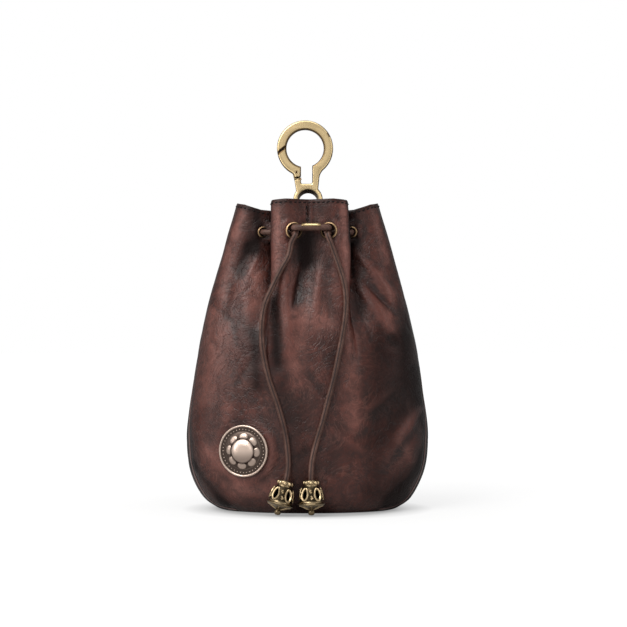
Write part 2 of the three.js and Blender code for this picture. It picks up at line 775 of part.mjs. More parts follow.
// Leather panels with the eyelets' holes
function panel(first, last, shift) {
  let body = panelSolid(first, last, shift);
  for (const { size, place, out } of EYELETS) {
    const room = seated(eyeletRoom(size), place, out);
    body = body.subtract(solid(room));
  }
  const underConcho = conchoPlace.clone().addScaledVector(conchoOut, GAP / 5);
  return geometryOf(body.subtract(solid(seated(conchoRoom(), underConcho, conchoOut))));
}
addPiece("front_panel", panel(leftSeam, rightSeam, -GAP / 2), leather);
addPiece("back_panel", panel(rightSeam, stepsRound, GAP / 2), leather);

for (const { name, size, place, out } of EYELETS) {
  const eyelet = addPiece(name, eyeletGeometry(size), brass);
  seat(eyelet, place, out);
}

const eyeletNamed = (name) => EYELETS.find((eyelet) => eyelet.name === name);
// A place on an eyelet's axis, so far out from the wall and so far above the eyelet's middle
function onAxis(name, out, above = 0) {
  const { place, out: way } = eyeletNamed(name);
  const at = place.clone().addScaledVector(way, out);
  return [at.x, at.y, at.z + above];
}
// Beads with their bores up the lace, and the free ends of the lace from eyelet to bead
for (const [word, { top, tip }] of Object.entries(BEADS)) {
  const head = new THREE.Vector3(...top);
  const up = head.clone().sub(new THREE.Vector3(...tip)).normalize();
  seat(addPiece(`bead_${word}`, beadGeometry(), oldBrass), head, up);
  const eyelet = `eyelet_front_${word}`;
  const below = -STRANDS_APART / 2;
  const route = [
    onAxis(eyelet, INSIDE, below),
    onAxis(eyelet, 0, below),
    onAxis(eyelet, OUTSIDE + CLEAR_OF_FLANGE.out, below - CLEAR_OF_FLANGE.down),
    ...FREE_ENDS[word],
    head.clone().addScaledVector(up, BEAD.laceAbove).toArray(),
    head.clone().addScaledVector(up, -BEAD.lacedTo).toArray(),
  ];
  addPiece(`cord_end_${word}`, laceAlong(route, LACE.endSteps), laceLeather);
}

// The bridge: a strand from one front eyelet to the other, straight under its sleeve
function bridgeRoute() {
  const above = STRANDS_APART / 2;
  const half = (word) => [
    onAxis(`eyelet_front_${word}`, INSIDE, above),
    onAxis(`eyelet_front_${word}`, BRIDGE.start, above),
    onAxis(`eyelet_front_${word}`, OUTSIDE, above),
  ];
  const [, frontY, height] = onAxis("eyelet_front_left", OUTSIDE + BRIDGE.out, above);
  const reach = SLEEVE.length / 2 + BRIDGE.pastSleeve;
  const middle = [-reach, reach].map((x) => [SLEEVE.x + x, frontY, height]);
  return [...half("left"), ...middle, ...half("right").reverse()];
}
const bridge = bridgeRoute();
addPiece("cord_bridge", laceAlong(bridge, LACE.bridgeSteps), laceLeather);

// The sleeve is an open clip over the top of the strand, so that the lace shows below it
function sleeveGeometry() {
  const { length, outer, inner, facets } = SLEEVE;
  const up = Math.PI / 2;
  const reach = THREE.MathUtils.degToRad(SLEEVE.reachDeg);
  const section = new THREE.Shape();
  section.absarc(0, 0, outer, up - reach, up + reach, false);
  section.absarc(0, 0, inner, up + reach, up - reach, true);
  const options = { depth: length, bevelEnabled: false, curveSegments: facets };
  const geometry = new THREE.ExtrudeGeometry(section, options);
  geometry.applyMatrix4(ALONG_X);
  geometry.translate(-length / 2, 0, 0);
  return geometry;
}
const [, sleeveY, sleeveZ] = bridge[3];
addPiece("bridge_sleeve", sleeveGeometry(), brass).position.set(SLEEVE.x, sleeveY, sleeveZ);

// The held lace: in at one front eyelet, round the mouth through the folds and out at the other
function heldRoute(word, side) {
  const [x, y, z] = onAxis(`eyelet_front_${word}`, INSIDE - GAP, -STRANDS_APART / 2);
  const flap = onAxis(`eyelet_flap_${word}`, HELD.flapOut);
  const wing = onAxis(`eyelet_wing_front_${word}`, OUTSIDE);
  return [
    [x, y, z],
    [x + side * HELD.aside, y + HELD.back, z + HELD.up],
    onAxis(`eyelet_flap_${word}`, INSIDE),
    flap,
    [(flap[0] + wing[0]) / 2, (flap[1] + wing[1]) / 2 - HELD.forward, z + HELD.arch],
    wing,
    onAxis(`eyelet_wing_front_${word}`, INSIDE),
    onAxis(`eyelet_wing_back_${word}`, INSIDE),
    onAxis(`eyelet_wing_back_${word}`, OUTSIDE),
    onAxis(`eyelet_back_${word}`, OUTSIDE),
    onAxis(`eyelet_back_${word}`, INSIDE),
  ];
}
const held = [...heldRoute("left", -1), ...heldRoute("right", 1).reverse()];
addPiece("drawstring", laceAlong(held, LACE.heldSteps), laceLeather);

const conchoAt = conchoPlace.clone().addScaledVector(conchoOut, GAP);
seat(addPiece("concho", conchoGeometry(), oldNickel), conchoAt, conchoOut);

const { frame, gate, pinBody } = hookPieces();
addPiece("hook_frame", geometryOf(frame), brass);
addPiece("hook_gate", geometryOf(gate), brass);
addPiece("gate_pin", geometryOf(pinBody), oldBrass);
addPiece("hanger_loop", hangerGeometry(), leather);

export default pouch;
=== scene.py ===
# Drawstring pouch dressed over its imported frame: metres, +Z up, the front faces -Y
import math

import bpy
import numpy as np
from mathutils import Matrix, Vector, noise
from mathutils.kdtree import KDTree


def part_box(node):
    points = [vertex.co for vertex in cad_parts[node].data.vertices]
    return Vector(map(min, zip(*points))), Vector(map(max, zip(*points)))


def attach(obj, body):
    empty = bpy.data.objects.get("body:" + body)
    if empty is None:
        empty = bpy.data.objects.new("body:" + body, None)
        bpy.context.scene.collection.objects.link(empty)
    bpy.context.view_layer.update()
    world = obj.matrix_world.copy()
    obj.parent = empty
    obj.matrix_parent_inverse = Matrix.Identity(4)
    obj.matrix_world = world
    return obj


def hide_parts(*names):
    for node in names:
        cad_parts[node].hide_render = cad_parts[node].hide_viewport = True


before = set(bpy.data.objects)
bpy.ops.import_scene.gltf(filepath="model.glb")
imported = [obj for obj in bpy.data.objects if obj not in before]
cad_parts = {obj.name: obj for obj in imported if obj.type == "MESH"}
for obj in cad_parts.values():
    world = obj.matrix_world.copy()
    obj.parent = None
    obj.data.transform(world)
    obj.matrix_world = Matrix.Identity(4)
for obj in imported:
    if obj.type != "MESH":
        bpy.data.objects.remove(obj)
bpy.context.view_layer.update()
mm = 0.001


# Small helpers for the work by hand

def deselectAll():
    if bpy.context.mode != "OBJECT":
        bpy.ops.object.mode_set(mode="OBJECT")
    bpy.ops.object.select_all(action="DESELECT")


def makeActive(obj):
    deselectAll()
    obj.select_set(True)
    bpy.context.view_layer.objects.active = obj


def settle(obj):  # the piece's place goes into its mesh
    makeActive(obj)
    bpy.ops.object.transform_apply(location=True, rotation=True, scale=True)
    return obj


def addShape(operator, **settings):  # a primitive, its place taken into its mesh
    deselectAll()
    operator(**settings)
    return settle(bpy.context.object)


def editAll(obj):  # edit mode, with the whole mesh chosen
    makeActive(obj)
    bpy.ops.object.mode_set(mode="EDIT")
    bpy.ops.mesh.select_all(action="SELECT")


def applyModifiers(obj):
    makeActive(obj)
    for modifier in list(obj.modifiers):
        bpy.ops.object.modifier_apply(modifier=modifier.name)


def joinPieces(first, others):
    makeActive(first)
    for other in others:
        other.select_set(True)
    bpy.ops.object.join()
    return first


def cutAway(obj, cutter):
    cut = obj.modifiers.new("cut", "BOOLEAN")
    cut.operation = "DIFFERENCE"
    cut.solver = "EXACT"
    cut.object = cutter
    applyModifiers(obj)
    bpy.data.objects.remove(cutter)


def cleanNormals(obj, merge):
    editAll(obj)
    bpy.ops.mesh.remove_doubles(threshold=merge)
    bpy.ops.mesh.normals_make_consistent(inside=False)
    bpy.ops.object.mode_set(mode="OBJECT")
    return obj


def smoothShade(obj, angle):
    makeActive(obj)
    bpy.ops.object.shade_smooth_by_angle(angle=math.radians(angle))
    return obj


def placeAlong(obj, place, axis):  # the piece's +Z goes along the axis
    turn = Vector((0, 0, 1)).rotation_difference(Vector(axis))
    obj.data.transform(Matrix.Translation(Vector(place)) @ turn.to_matrix().to_4x4())


def meshPiece(name, places, faces):
    mesh = bpy.data.meshes.new(name)
    mesh.from_pydata([tuple(p) for p in places], [], [tuple(f) for f in faces])
    mesh.update()
    obj = bpy.data.objects.new(name, mesh)
    bpy.context.scene.collection.objects.link(obj)
    return obj


def setMark(obj, word, values, domain="POINT"):  # numbers that the materials read
    mark = obj.data.attributes.new(word, "FLOAT", domain)
    mark.data.foreach_set("value", np.asarray(values, np.float32).ravel())


def placesOf(obj):  # the mesh's points, in millimetres
    return np.array([v.co for v in obj.data.vertices]) / mm


def dress(obj, name, materials, body="pouch", nodes=()):
    obj.name = name
    obj.data.name = name
    obj.data.materials.clear()
    for material in materials:
        obj.data.materials.append(material)
    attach(obj, body)
    if nodes:
        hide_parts(*nodes)


def smoothstep(low, high, value):
    share = np.clip((value - low) / (high - low), 0, 1)
    return share * share * (3 - 2 * share)


def unit(way):
    return way / np.linalg.norm(way)


def nearLine(x, z, x0, z0, x1, z1):  # share along a short line and distance from it
    dx, dz = x1 - x0, z1 - z0
    near = np.clip(((x - x0) * dx + (z - z0) * dz) / (dx * dx + dz * dz), 0, 1)
    return near, np.hypot(x - x0 - near * dx, z - z0 - near * dz)


def aboutAxis(places, start, axis):  # height along an axis and distance from it
    away = places - start
    high = away @ axis
    return high, np.linalg.norm(away - high[..., None] * axis, axis=-1)


def alongTable(rows, value):  # the second number of the rows where the first has a value
    first, second = zip(*sorted(rows))
    return np.interp(value, first, second)


def onCircle(radius, turn, high):  # a place round +Z in metres, from millimetres
    return (radius * mm * math.cos(turn), radius * mm * math.sin(turn), high * mm)


# The four terms of a centripetal curve on each span between points
def spanTerms(before, start, end, after):
    def root(a, b):
        return np.maximum(np.sqrt(np.linalg.norm(b - a, axis=-1, keepdims=True)), 1e-6)
    d0, d1, d2 = root(before, start), root(start, end), root(end, after)
    t1 = ((start - before) / d0 - (end - before) / (d0 + d1) + (end - start) / d1) * d1
    t2 = ((end - start) / d1 - (after - start) / (d1 + d2) + (after - end) / d2) * d1
    return start, t1, -3 * start + 3 * end - 2 * t1 - t2, 2 * start - 2 * end + t1 + t2


def lineThrough(points, steps):  # an open smooth line, so many steps a span
    rows = np.asarray(points, float)
    padded = np.vstack([2 * rows[:1] - rows[1:2], rows, 2 * rows[-1:] - rows[-2:-1]])
    terms = spanTerms(padded[:-3], padded[1:-2], padded[2:-1], padded[3:])
    share = (np.arange(steps) / steps)[None, :, None]
    spans = sum(term[:, None, :] * share ** power for power, term in enumerate(terms))
    return np.vstack([spans.reshape(-1, rows.shape[1]), rows[-1:]])


def lengthsAlong(line):
    return np.concatenate([[0], np.cumsum(np.linalg.norm(np.diff(line, axis=0), axis=1))])


def waysAlong(line):  # the way ahead at each point
    ahead = np.gradient(line, axis=0)
    return ahead / np.linalg.norm(ahead, axis=1, keepdims=True)


def evenly(line, count):  # the same line in steps of one length
    along = lengthsAlong(line)
    wanted = np.linspace(0, along[-1], count)
    return np.stack([np.interp(wanted, along, line[:, k]) for k in range(3)], axis=1)


print("stage: camera")
photoView = {"place": (2.7, -800, 87.7), "frameAtObject": 282, "sensor": 36, "clip": (0.05, 20)}

deselectAll()
bpy.ops.object.camera_add(
    location=[mm * x for x in photoView["place"]], rotation=(math.pi / 2, 0, 0)
)
camera = bpy.context.object
camera.data.sensor_width = photoView["sensor"]
camera.data.lens = photoView["sensor"] * -photoView["place"][1] / photoView["frameAtObject"]
camera.data.clip_start, camera.data.clip_end = photoView["clip"]
bpy.context.scene.camera = camera


print("stage: pouch form")
# The gathered form, in millimetres as the solids have it
pouchForm = {
    "wall": 1.8,
    "levels": [  # height, half-width, half-depth, share of the gather
        (0, 29, 0, 0), (0, 34, 11.5, 0), (0, 38.2, 19.6, 0), (1.4, 41.6, 22, 0),
        (5, 46.4, 24.2, 0), (12, 50.7, 25.7, 0), (21, 53.6, 26.5, 0), (32, 54.4, 26.7, 0),
        (42, 53.8, 26.5, 0), (53, 52.1, 26.1, 0.01), (64, 50.5, 25.5, 0.06),
        (75, 48.5, 24.8, 0.16), (84, 46.5, 24.2, 0.29), (93, 44.4, 23.5, 0.46),
        (101, 42.3, 22.8, 0.64), (109, 40, 22, 0.82), (117, 37.8, 21.3, 0.95),
        (124.5, 35.7, 20.8, 1), (131.5, 33.6, 20.5, 1), (138.2, 31.7, 20.4, 1),
    ],
    "folds": [  # name, angle on the oval, x and y at the rim, spread, drop, steps to the next
        ("frontCentre", 0, 0, -18.4, 0, 0.3, 14), ("frontRidge", 12, 10.6, -20.4, 0.15, 0, 11),
        ("frontCorner", 21, 16.8, -17.2, 0.25, 0.6, 11), ("frontSide", 25, 14.5, -9.2, 0.3, 2.4, 10),
        ("frontValley", 29, 11.4, -3.2, 0.2, 5, 13), ("frontWall", 42, 20.6, -6.6, 0.3, 4.2, 15),
        ("wingFront", 62, 28, -5.6, 0.8, 1.8, 26), ("wingCrest", 90, 31.7, 0, 1, 0.8, 18),
        ("wingBack", 118, 28, 5.8, 0.8, 1.8, 15), ("backWall", 138, 20.6, 7.2, 0.3, 3.6, 13),
        ("backValley", 151, 11.4, 4.6, 0.2, 5, 10), ("backSide", 155, 14.4, 10.2, 0.1, 2.4, 11),
        ("backCorner", 159, 16.6, 17.4, 0, 0.6, 11), ("backRidge", 168, 10, 20.4, 0, 0, 14),
        ("backCentre", 180, 0, 18.8, 0, 0.3, 14),
    ],
    "frontFoldEnds": 28, "frontShift": 0.9, "frontLean": 0.03, "dropFrom": 104,
    "rowsPerLevel": 10,
    "dents": [  # x and z of one end, x and z of the other, half-width, height
        (-11.5, 120, -9, 70, 4.5, 1.1), (15, 118, 16.5, 72, 4.5, 1.2),
        (1.5, 116, -6, 88, 4.5, -1.7), (-25, 118, -38, 94, 3.5, -1.1),
        (26, 116, 38, 74, 5, 1.1), (51, 47, 33, 26, 4.5, 1.5),
        (46, 60, 30, 38, 6, -1.1), (-11, 62, -5, 40, 6, -0.9),
    ],
    "dentFade": 0.15,
    "creases": [  # finer folds of the same kind
        (0.3, 138, 0.4, 127, 0.6, -0.6), (-1, 138, -0.9, 127, 0.7, 0.3), (1.6, 138, 1.7, 127, 0.7, 0.3),
        (-14.8, 101, -13.2, 64, 2.9, -1.5), (-8.4, 99, -7, 64, 2.8, 0.8),  # trough beside the left lace
        (-1.5, 109, -5.6, 91, 1.2, -1.3), (5, 108, 3, 84, 2, 0.8), (9.5, 106, 10, 80, 1.8, -0.5),
        (-20.8, 115, -27, 104, 1.1, 0.28), (-23.5, 114, -30, 101, 1.3, -0.25),  # from the left eyelet
        (-30.5, 104, -25, 86, 3.6, 0.8), (-35, 101, -37, 84, 2.2, -0.6),
        (-43, 92, -33, 84.5, 0.95, -0.5), (-44.5, 80, -40, 72, 0.95, -0.4), (-33, 84, -30, 72, 1.1, -0.25),
        (21.4, 115, 41, 93, 2, 1.05), (27, 101, 38.5, 88, 1.7, -1.5),  # two folds from the right eyelet
        (23.6, 99.5, 35.6, 81, 2.3, 1.35), (36, 78.5, 39.5, 73, 2.4, -1.4), (22, 92, 30, 72, 1.6, -0.5),
        (-40, 20, -30, 9, 2, -0.45), (-46, 30, -36, 14, 1.8, 0.4),
        (47, 36, 34, 18, 2, -0.55), (41, 56, 24, 44, 2.2, 0.4),
        (-2, 66, 8, 52, 2, -0.35), (12, 36, 26, 26, 2.4, 0.35),
        (-18, 76, -30, 58, 2, -0.35), (4, 30, -12, 20, 2.4, -0.3),
    ],
    "waves": [  # size of a wave, depth, seed
        (34, 0.5, 3.1), (13, 0.16, 7.7),
    ],
    "wrinkles": [  # size of a cell, depth, seed
        (15, 0.09, 21.3), (6, 0.06, 5.9),
    ],
    "wrinkleLine": 0.09, "wrinkleSquash": (1, 1, 0.62),
    "warp": 0.35, "warpSize": 1.7, "warpSeeds": (1.3, 4.9, 8.2),
    "patchSize": 3.2, "patchSeed": 11, "patch": (-0.15, 0.4),
    "standing": (1, 9), "stilled": (112, 124), "stillShare": 0.75,  # heights where the leather lies plainer
}
levelTable = np.array(pouchForm["levels"], float)
foldNames = [row[0] for row in pouchForm["folds"]]


def turnsRound():  # left side crest, over the front to the right, and round the back again
    crest = foldNames.index("wingCrest")
    last = len(foldNames) - 1
    left = [(k, -1) for k in range(crest, 0, -1)]
    right = [(k, 1) for k in range(0, last + 1)]
    behind = [(k, -1) for k in range(last - 1, crest, -1)]
    return left + right + behind


turns = turnsRound()


def turnOf(name, side):
    return turns.index((foldNames.index(name), side))


def levelsAt(v):  # the table's columns at any place between its rows, on a smooth curve
    padded = np.vstack([levelTable[:1], levelTable, levelTable[-1:]])
    row = np.clip(np.floor(v).astype(int), 0, len(levelTable) - 2)
    t = (v - row)[:, None]
    a, b, c, d = (padded[row + k] for k in range(4))
    found = b + 0.5 * t * (c - a + t * (2 * a - 5 * b + 4 * c - d + t * (3 * (b - c) + d - a)))
    found[:, 0] = np.maximum(found[:, 0], 0)
    found[:, 2] = np.maximum(found[:, 2], 0)
    found[:, 3] = np.clip(found[:, 3], 0, 1)
    return found


def columnPlaces():  # which turn each column of the wall lies at
    places = []
    for index, turn in enumerate(turns):
        nextTurn = turns[(index + 1) % len(turns)]
        steps = pouchForm["folds"][min(turn[0], nextTurn[0])][6]
        places += [index + step / steps for step in range(steps)]
    return np.array(places)


def plainWall():  # the wall before its soft folds: rows from base to rim, columns round it
    rows = (len(levelTable) - 1) * pouchForm["rowsPerLevel"] + 1
    levels = levelsAt(np.linspace(0, len(levelTable) - 1, rows))
    z, wide, deep, gather = levels.T[:, :, None]
    rimWide, rimDeep = levelTable[-1, 1:3]
    corners = []
    for fold, side in turns:
        angle, x, y, spread = pouchForm["folds"][fold][1:5]
        around = math.radians(angle)
        lean = pouchForm["frontShift"] + pouchForm["frontLean"] * (levelTable[-1, 0] - z)
        shift = lean * side if angle < pouchForm["frontFoldEnds"] else 0
        foldX = x * (1 + spread * (wide / rimWide - 1)) + shift
        foldY = y * deep / rimDeep
        plainX, plainY = wide * math.sin(around), -deep * math.cos(around)
        corners.append(np.concatenate([
            side * (plainX + gather * (foldX - plainX)), plainY + gather * (foldY - plainY),
        ], axis=1))
    points = np.stack(corners, axis=1)
    terms = spanTerms(
        np.roll(points, 1, 1), points, np.roll(points, -1, 1), np.roll(points, -2, 1)
    )
    places = columnPlaces()
    span = np.floor(places).astype(int)
    share = (places - span)[None, :, None]
    plan = sum(term[:, span, :] * share ** power for power, term in enumerate(terms))
    drops = np.array([pouchForm["folds"][fold][5] for fold, side in turns])
    here, there = drops[span], drops[(span + 1) % len(turns)]
    drop = here + (there - here) * (places - span)
    dropShare = smoothstep(pouchForm["dropFrom"], levelTable[-1, 0], z)
    height = z - drop[None, :] * dropShare
    return np.concatenate([plan, height[:, :, None]], axis=2)


def wallNormals(wall):
    along = np.roll(wall, -1, 1) - np.roll(wall, 1, 1)
    up = np.gradient(wall, axis=0)
    out = np.cross(along, up)
    length = np.linalg.norm(out, axis=2, keepdims=True)
    return out / np.maximum(length, 1e-9)


def pushAt(table, x, z):  # how far the listed folds push the wall out
    push = np.zeros_like(x)
    fade = pouchForm["dentFade"]
    for *ends, half, high in table:
        near, away = nearLine(x, z, *ends)
        push += high * np.exp(-((away / half) ** 2)) * np.sin(math.pi * (fade + (1 - 2 * fade) * near))
    return push


def noiseAt(places, size, seed):
    flat = places.reshape(-1, 3) / size + seed
    found = np.array([noise.noise(Vector(p)) for p in flat])
    return found.reshape(places.shape[:2])


def pressFlat(wall, place, axis, radius, fade):  # the leather lies flat under a hard piece
    high, aside = aboutAxis(wall, place, axis)
    press = (1 - smoothstep(radius, fade, aside)) * (np.abs(high) < eyeletForm["pressReach"])
    return wall - (press * high)[..., None] * axis


def nodeCentre(name):
    low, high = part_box(name)
    return np.array((low + high) / 2) / mm


eyeletForm = {  # bore and outer radius of each kind, in millimetres
    "front": (2.7, 3.85), "flap": (1.7, 2.6), "wing_front": (1.7, 2.6), "wing_back": (1.7, 2.6),
    # dull: painted shade, darker all over, for the eyelets other than the front pair
    "back": (1.7, 2.6), "laceHeight": 124, "pressed": 0.7, "fade": 3, "pressReach": 6, "dull": 0.55,
}


def findEyelets(wall, normals):  # each eyelet's place on the wall's face and its way out
    row = int(np.argmin(np.abs(wall[:, 0, 2] - eyeletForm["laceHeight"])))
    found = {}
    for word in ("left", "right"):
        for part in ("front", "flap", "wing_front", "wing_back", "back"):
            name = f"eyelet_{part}_{word}"
            middle = nodeCentre(name)
            column = int(np.argmin(np.linalg.norm(wall[row, :, :2] - middle[:2], axis=1)))
            out = normals[row, column].copy()
            out[2] = 0
            out = unit(out)
            bore, outer = eyeletForm[part]
            found[name] = {
                "place": middle + out * pouchForm["wall"] / 2, "out": out,
                "bore": bore, "outer": outer, "dull": 0.0 if part == "front" else eyeletForm["dull"],
            }
    return found


conchoForm = {"turn": 19, "radius": 11.4, "gap": 0.3, "pressed": 0.5, "fade": 5}
conchoOut = np.array([
    -math.sin(math.radians(conchoForm["turn"])), -math.cos(math.radians(conchoForm["turn"])), 0,
])


def conchoBack():  # the middle of the concho's back face, from its node
    places = placesOf(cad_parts["concho"])
    high = places @ conchoOut
    back = places[high < high.min() + 0.05]
    return (back.min(0) + back.max(0)) / 2


def softWall():  # folds, waves and wrinkles on the plain wall
    wall = plainWall()
    normals = wallNormals(wall)
    eyelets = findEyelets(wall, normals)
    facing = np.clip(-normals[:, :, 1], 0, 1) * (wall[:, :, 2] > 0.5)
    push = pushAt(pouchForm["dents"], wall[:, :, 0], wall[:, :, 2]) * facing
    fine = pushAt(pouchForm["creases"], wall[:, :, 0], wall[:, :, 2]) * facing
    loose = smoothstep(*pouchForm["standing"], wall[:, :, 2])
    loose *= 1 - pouchForm["stillShare"] * smoothstep(*pouchForm["stilled"], wall[:, :, 2])
    for size, depth, seed in pouchForm["waves"]:
        push += depth * noiseAt(wall, size, seed) * loose
    for size, depth, seed in pouchForm["wrinkles"]:
        warped = wall + pouchForm["warp"] * size * np.stack(
            [noiseAt(wall, pouchForm["warpSize"] * size, seed + k) for k in pouchForm["warpSeeds"]], axis=2
        )
        ridge = np.abs(noiseAt(warped * pouchForm["wrinkleSquash"], size, seed))
        patch = noiseAt(wall, pouchForm["patchSize"] * size, seed + pouchForm["patchSeed"])
        shown = smoothstep(*pouchForm["patch"], patch) * loose
        fine -= depth * np.exp(-((ridge / pouchForm["wrinkleLine"]) ** 2)) * shown
    wall = wall + normals * (push + fine)[..., None]
    for eyelet in eyelets.values():
        wall = pressFlat(
            wall, eyelet["place"], eyelet["out"],
            eyelet["outer"] + eyeletForm["pressed"], eyelet["outer"] + eyeletForm["fade"],
        )
    seat = conchoBack() - conchoOut * conchoForm["gap"]
    wall = pressFlat(
        wall, seat, conchoOut,
        conchoForm["radius"] + conchoForm["pressed"], conchoForm["radius"] + conchoForm["fade"],
    )
    wall[:, :, 2] = np.maximum(wall[:, :, 2], 0)
    return wall, eyelets


wall, eyelets = softWall()
normals = wallNormals(wall)
columns = columnPlaces()
print("  wall", wall.shape, "eyelets", len(eyelets))


def onWall(turn, level):  # a place on the soft wall in millimetres, and its way out
    column = np.interp(turn % len(turns), np.append(columns, len(turns)), np.arange(len(columns) + 1))
    row = level * pouchForm["rowsPerLevel"]
    r0, c0 = min(int(row), len(wall) - 2), int(column)
    dr, dc = row - r0, column - c0

    def mix(grid):
        a, b = grid[r0, c0 % len(columns)], grid[r0, (c0 + 1) % len(columns)]
        c, d = grid[r0 + 1, c0 % len(columns)], grid[r0 + 1, (c0 + 1) % len(columns)]
        return (a * (1 - dc) + b * dc) * (1 - dr) + (c * (1 - dc) + d * dc) * dr
    return mix(wall), unit(mix(normals))


def onAxis(name, out, above=0.0):  # a place on an eyelet's axis
    return eyelets[name]["place"] + out * eyelets[name]["out"] + np.array([0, 0, above])


print("stage: lace")
laceForm = {
    "radius": 1.2, "sides": 16, "groove": 0.16, "grooveWide": 0.22,
    "strandsApart": 2.7, "inside": -3.3, "outside": 1.7,
    "pastFlange": (1.3, 0.4),  # out and down
    "bridgeOut": 1.4, "bridgeStout": 1.2, "bridgeStart": 0.2, "pastSleeve": 0.6,
    "heldBend": (0.7, 2.2, 0.2), "flapOut": 1.3, "arch": (0.3, 1.2), "gap": 0.3,
    "grooveUp": (0, 0.35, 1), "beadEnds": (1.5, -5),
    "freeLength": {"left": 0.1225, "right": 0.1205},
    "freeEnds": {
        "left": [
            (-6.9, -23.3, 118.6), (-8.1, -23.5, 113), (-11.5, -24.1, 106.7), (-15.6, -24.3, 98.4),
            (-18.4, -24.4, 91.9), (-19.7, -24.5, 84.4), (-19.7, -24.8, 74.8), (-18.4, -25.3, 66.1),
            (-16.2, -26, 57.5), (-12.8, -26.9, 47.8), (-9.9, -27.8, 37.2), (-8.6, -28.5, 29),
            (-8.2, -29.6, 21.5),
        ],
        "right": [
            (10.2, -23.3, 118.6), (12.2, -23.5, 113), (13.9, -24.1, 108.1), (16, -24.5, 101),
            (16.9, -24.8, 93.5), (16.5, -25.3, 86.2), (15.1, -25.8, 77), (13.4, -26.4, 68.3),
            (11.5, -27, 59.2), (9.3, -27.6, 50.9), (6.7, -28.1, 40.9), (3.8, -28.6, 31.4),
            (2.1, -29.5, 24),
        ],
    },
}
beadPlaces = {
    "left": {"top": (-9.2, -30.6, 15.4), "tip": (-13.2, -31.4, 0.6)},
    "right": {"top": (1.6, -30.8, 15.7), "tip": (1.8, -31.2, 0.4)},
}


def laceTube(name, line, stout=1.0):  # a round lace with one lengthwise groove, along a line in metres
    sides, radius = laceForm["sides"], laceForm["radius"] * stout * mm
    count = len(line)
    ahead = waysAlong(line)
    side = unit(np.cross(ahead[0], laceForm["grooveUp"]))
    places = []
    along = lengthsAlong(line)
    for k in range(count):
        side = unit(side - ahead[k] * (side @ ahead[k]))
        up = np.cross(side, ahead[k])
        for s in range(sides):
            turn = 2 * math.pi * s / sides
            far = math.remainder(turn - math.pi / 2, 2 * math.pi)
            r = radius * (1 - laceForm["groove"] * math.exp(-((far / laceForm["grooveWide"]) ** 2)))
            places.append(line[k] + r * (math.cos(turn) * side + math.sin(turn) * up))
    faces = []
    for k in range(count - 1):
        for s in range(sides):
            n = (s + 1) % sides
            faces.append((k * sides + s, k * sides + n, (k + 1) * sides + n, (k + 1) * sides + s))
    faces.append(tuple(range(sides - 1, -1, -1)))
    faces.append(tuple((count - 1) * sides + s for s in range(sides)))
    obj = meshPiece(name, places, faces)
    uv = obj.data.uv_layers.new(name="lace")  # round the lace in turns, along it in centimetres
    for polygon in obj.data.polygons:
        for loop in polygon.loop_indices:
            vertex = obj.data.loops[loop].vertex_index
            s = vertex % sides
            wrap = 1 if s == 0 and any(
                obj.data.loops[x].vertex_index % sides == sides - 1 for x in polygon.loop_indices
            ) else 0
            uv.data[loop].uv = (s / sides + wrap, along[vertex // sides] * 100)
    cleanNormals(obj, 1e-7)
    return smoothShade(obj, 60)


def freeRoute(word):
    eyelet, below = f"eyelet_front_{word}", -laceForm["strandsApart"] / 2
    out, down = laceForm["pastFlange"]
    top, tip = (np.array(beadPlaces[word][end]) for end in ("top", "tip"))
    return [
        onAxis(eyelet, laceForm["inside"], below), onAxis(eyelet, 0, below),
        onAxis(eyelet, laceForm["outside"] + out, below - down),
        *laceForm["freeEnds"][word], *[top + reach * unit(top - tip) for reach in laceForm["beadEnds"]],
    ]


def bridgeRoute():
    above = laceForm["strandsApart"] / 2
    reaches = (laceForm["inside"], laceForm["bridgeStart"], laceForm["outside"])
    left, right = (
        [onAxis(f"eyelet_front_{word}", reach, above) for reach in reaches]
        for word in ("left", "right")
    )
    front = onAxis("eyelet_front_left", laceForm["outside"] + laceForm["bridgeOut"], above)
    sleeve = nodeCentre("bridge_sleeve")
    half = sleeveForm["length"] / 2 + laceForm["pastSleeve"]
    middle = [(sleeve[0] + x, front[1], front[2]) for x in (-half, half)]
    return [*left, *middle, *right[::-1]]


def heldRoute(word, side):
    x, y, z = onAxis(
        f"eyelet_front_{word}", laceForm["inside"] - laceForm["gap"], -laceForm["strandsApart"] / 2
    )
    aside, back, up = laceForm["heldBend"]
    forward, arch = laceForm["arch"]
    flap = onAxis(f"eyelet_flap_{word}", laceForm["flapOut"])
    wing = onAxis(f"eyelet_wing_front_{word}", laceForm["outside"])
    return [
        (x, y, z), (x + side * aside, y + back, z + up),
        onAxis(f"eyelet_flap_{word}", laceForm["inside"]), flap,
        ((flap[0] + wing[0]) / 2, (flap[1] + wing[1]) / 2 - forward, z + arch), wing,
        onAxis(f"eyelet_wing_front_{word}", laceForm["inside"]),
        onAxis(f"eyelet_wing_back_{word}", laceForm["inside"]),
        onAxis(f"eyelet_wing_back_{word}", laceForm["outside"]),
        onAxis(f"eyelet_back_{word}", laceForm["outside"]),
        onAxis(f"eyelet_back_{word}", laceForm["inside"]),
    ]


sleeveForm = {
    "length": 8.4, "inner": 1.5, "outer": 1.9, "reach": 75, "cuts": (-3.4, -2.6, -1.8, 1.8, 2.6, 3.4),
    "ends": (1.9, 3.6), "endShare": 0.9, "under": (0.95, 1.35), "underShare": 0.85,
}

laces = {}
for word in ("left", "right"):
    line = evenly(lineThrough(freeRoute(word), 12) * mm, 150)
    laces[word] = laceTube(f"laceEnd_{word}", line)
    print("  free lace", word, round(float(lengthsAlong(line)[-1]), 4))
bridgeLine = np.array(bridgeRoute())
bridgeSteps = evenly(lineThrough(bridgeLine, 12) * mm, 60)
laces["bridge"] = laceTube("laceBridge", bridgeSteps, laceForm["bridgeStout"])
heldPoints = [*heldRoute("left", -1), *heldRoute("right", 1)[::-1]]
laces["held"] = laceTube("laceHeld", evenly(lineThrough(heldPoints, 14) * mm, 260))


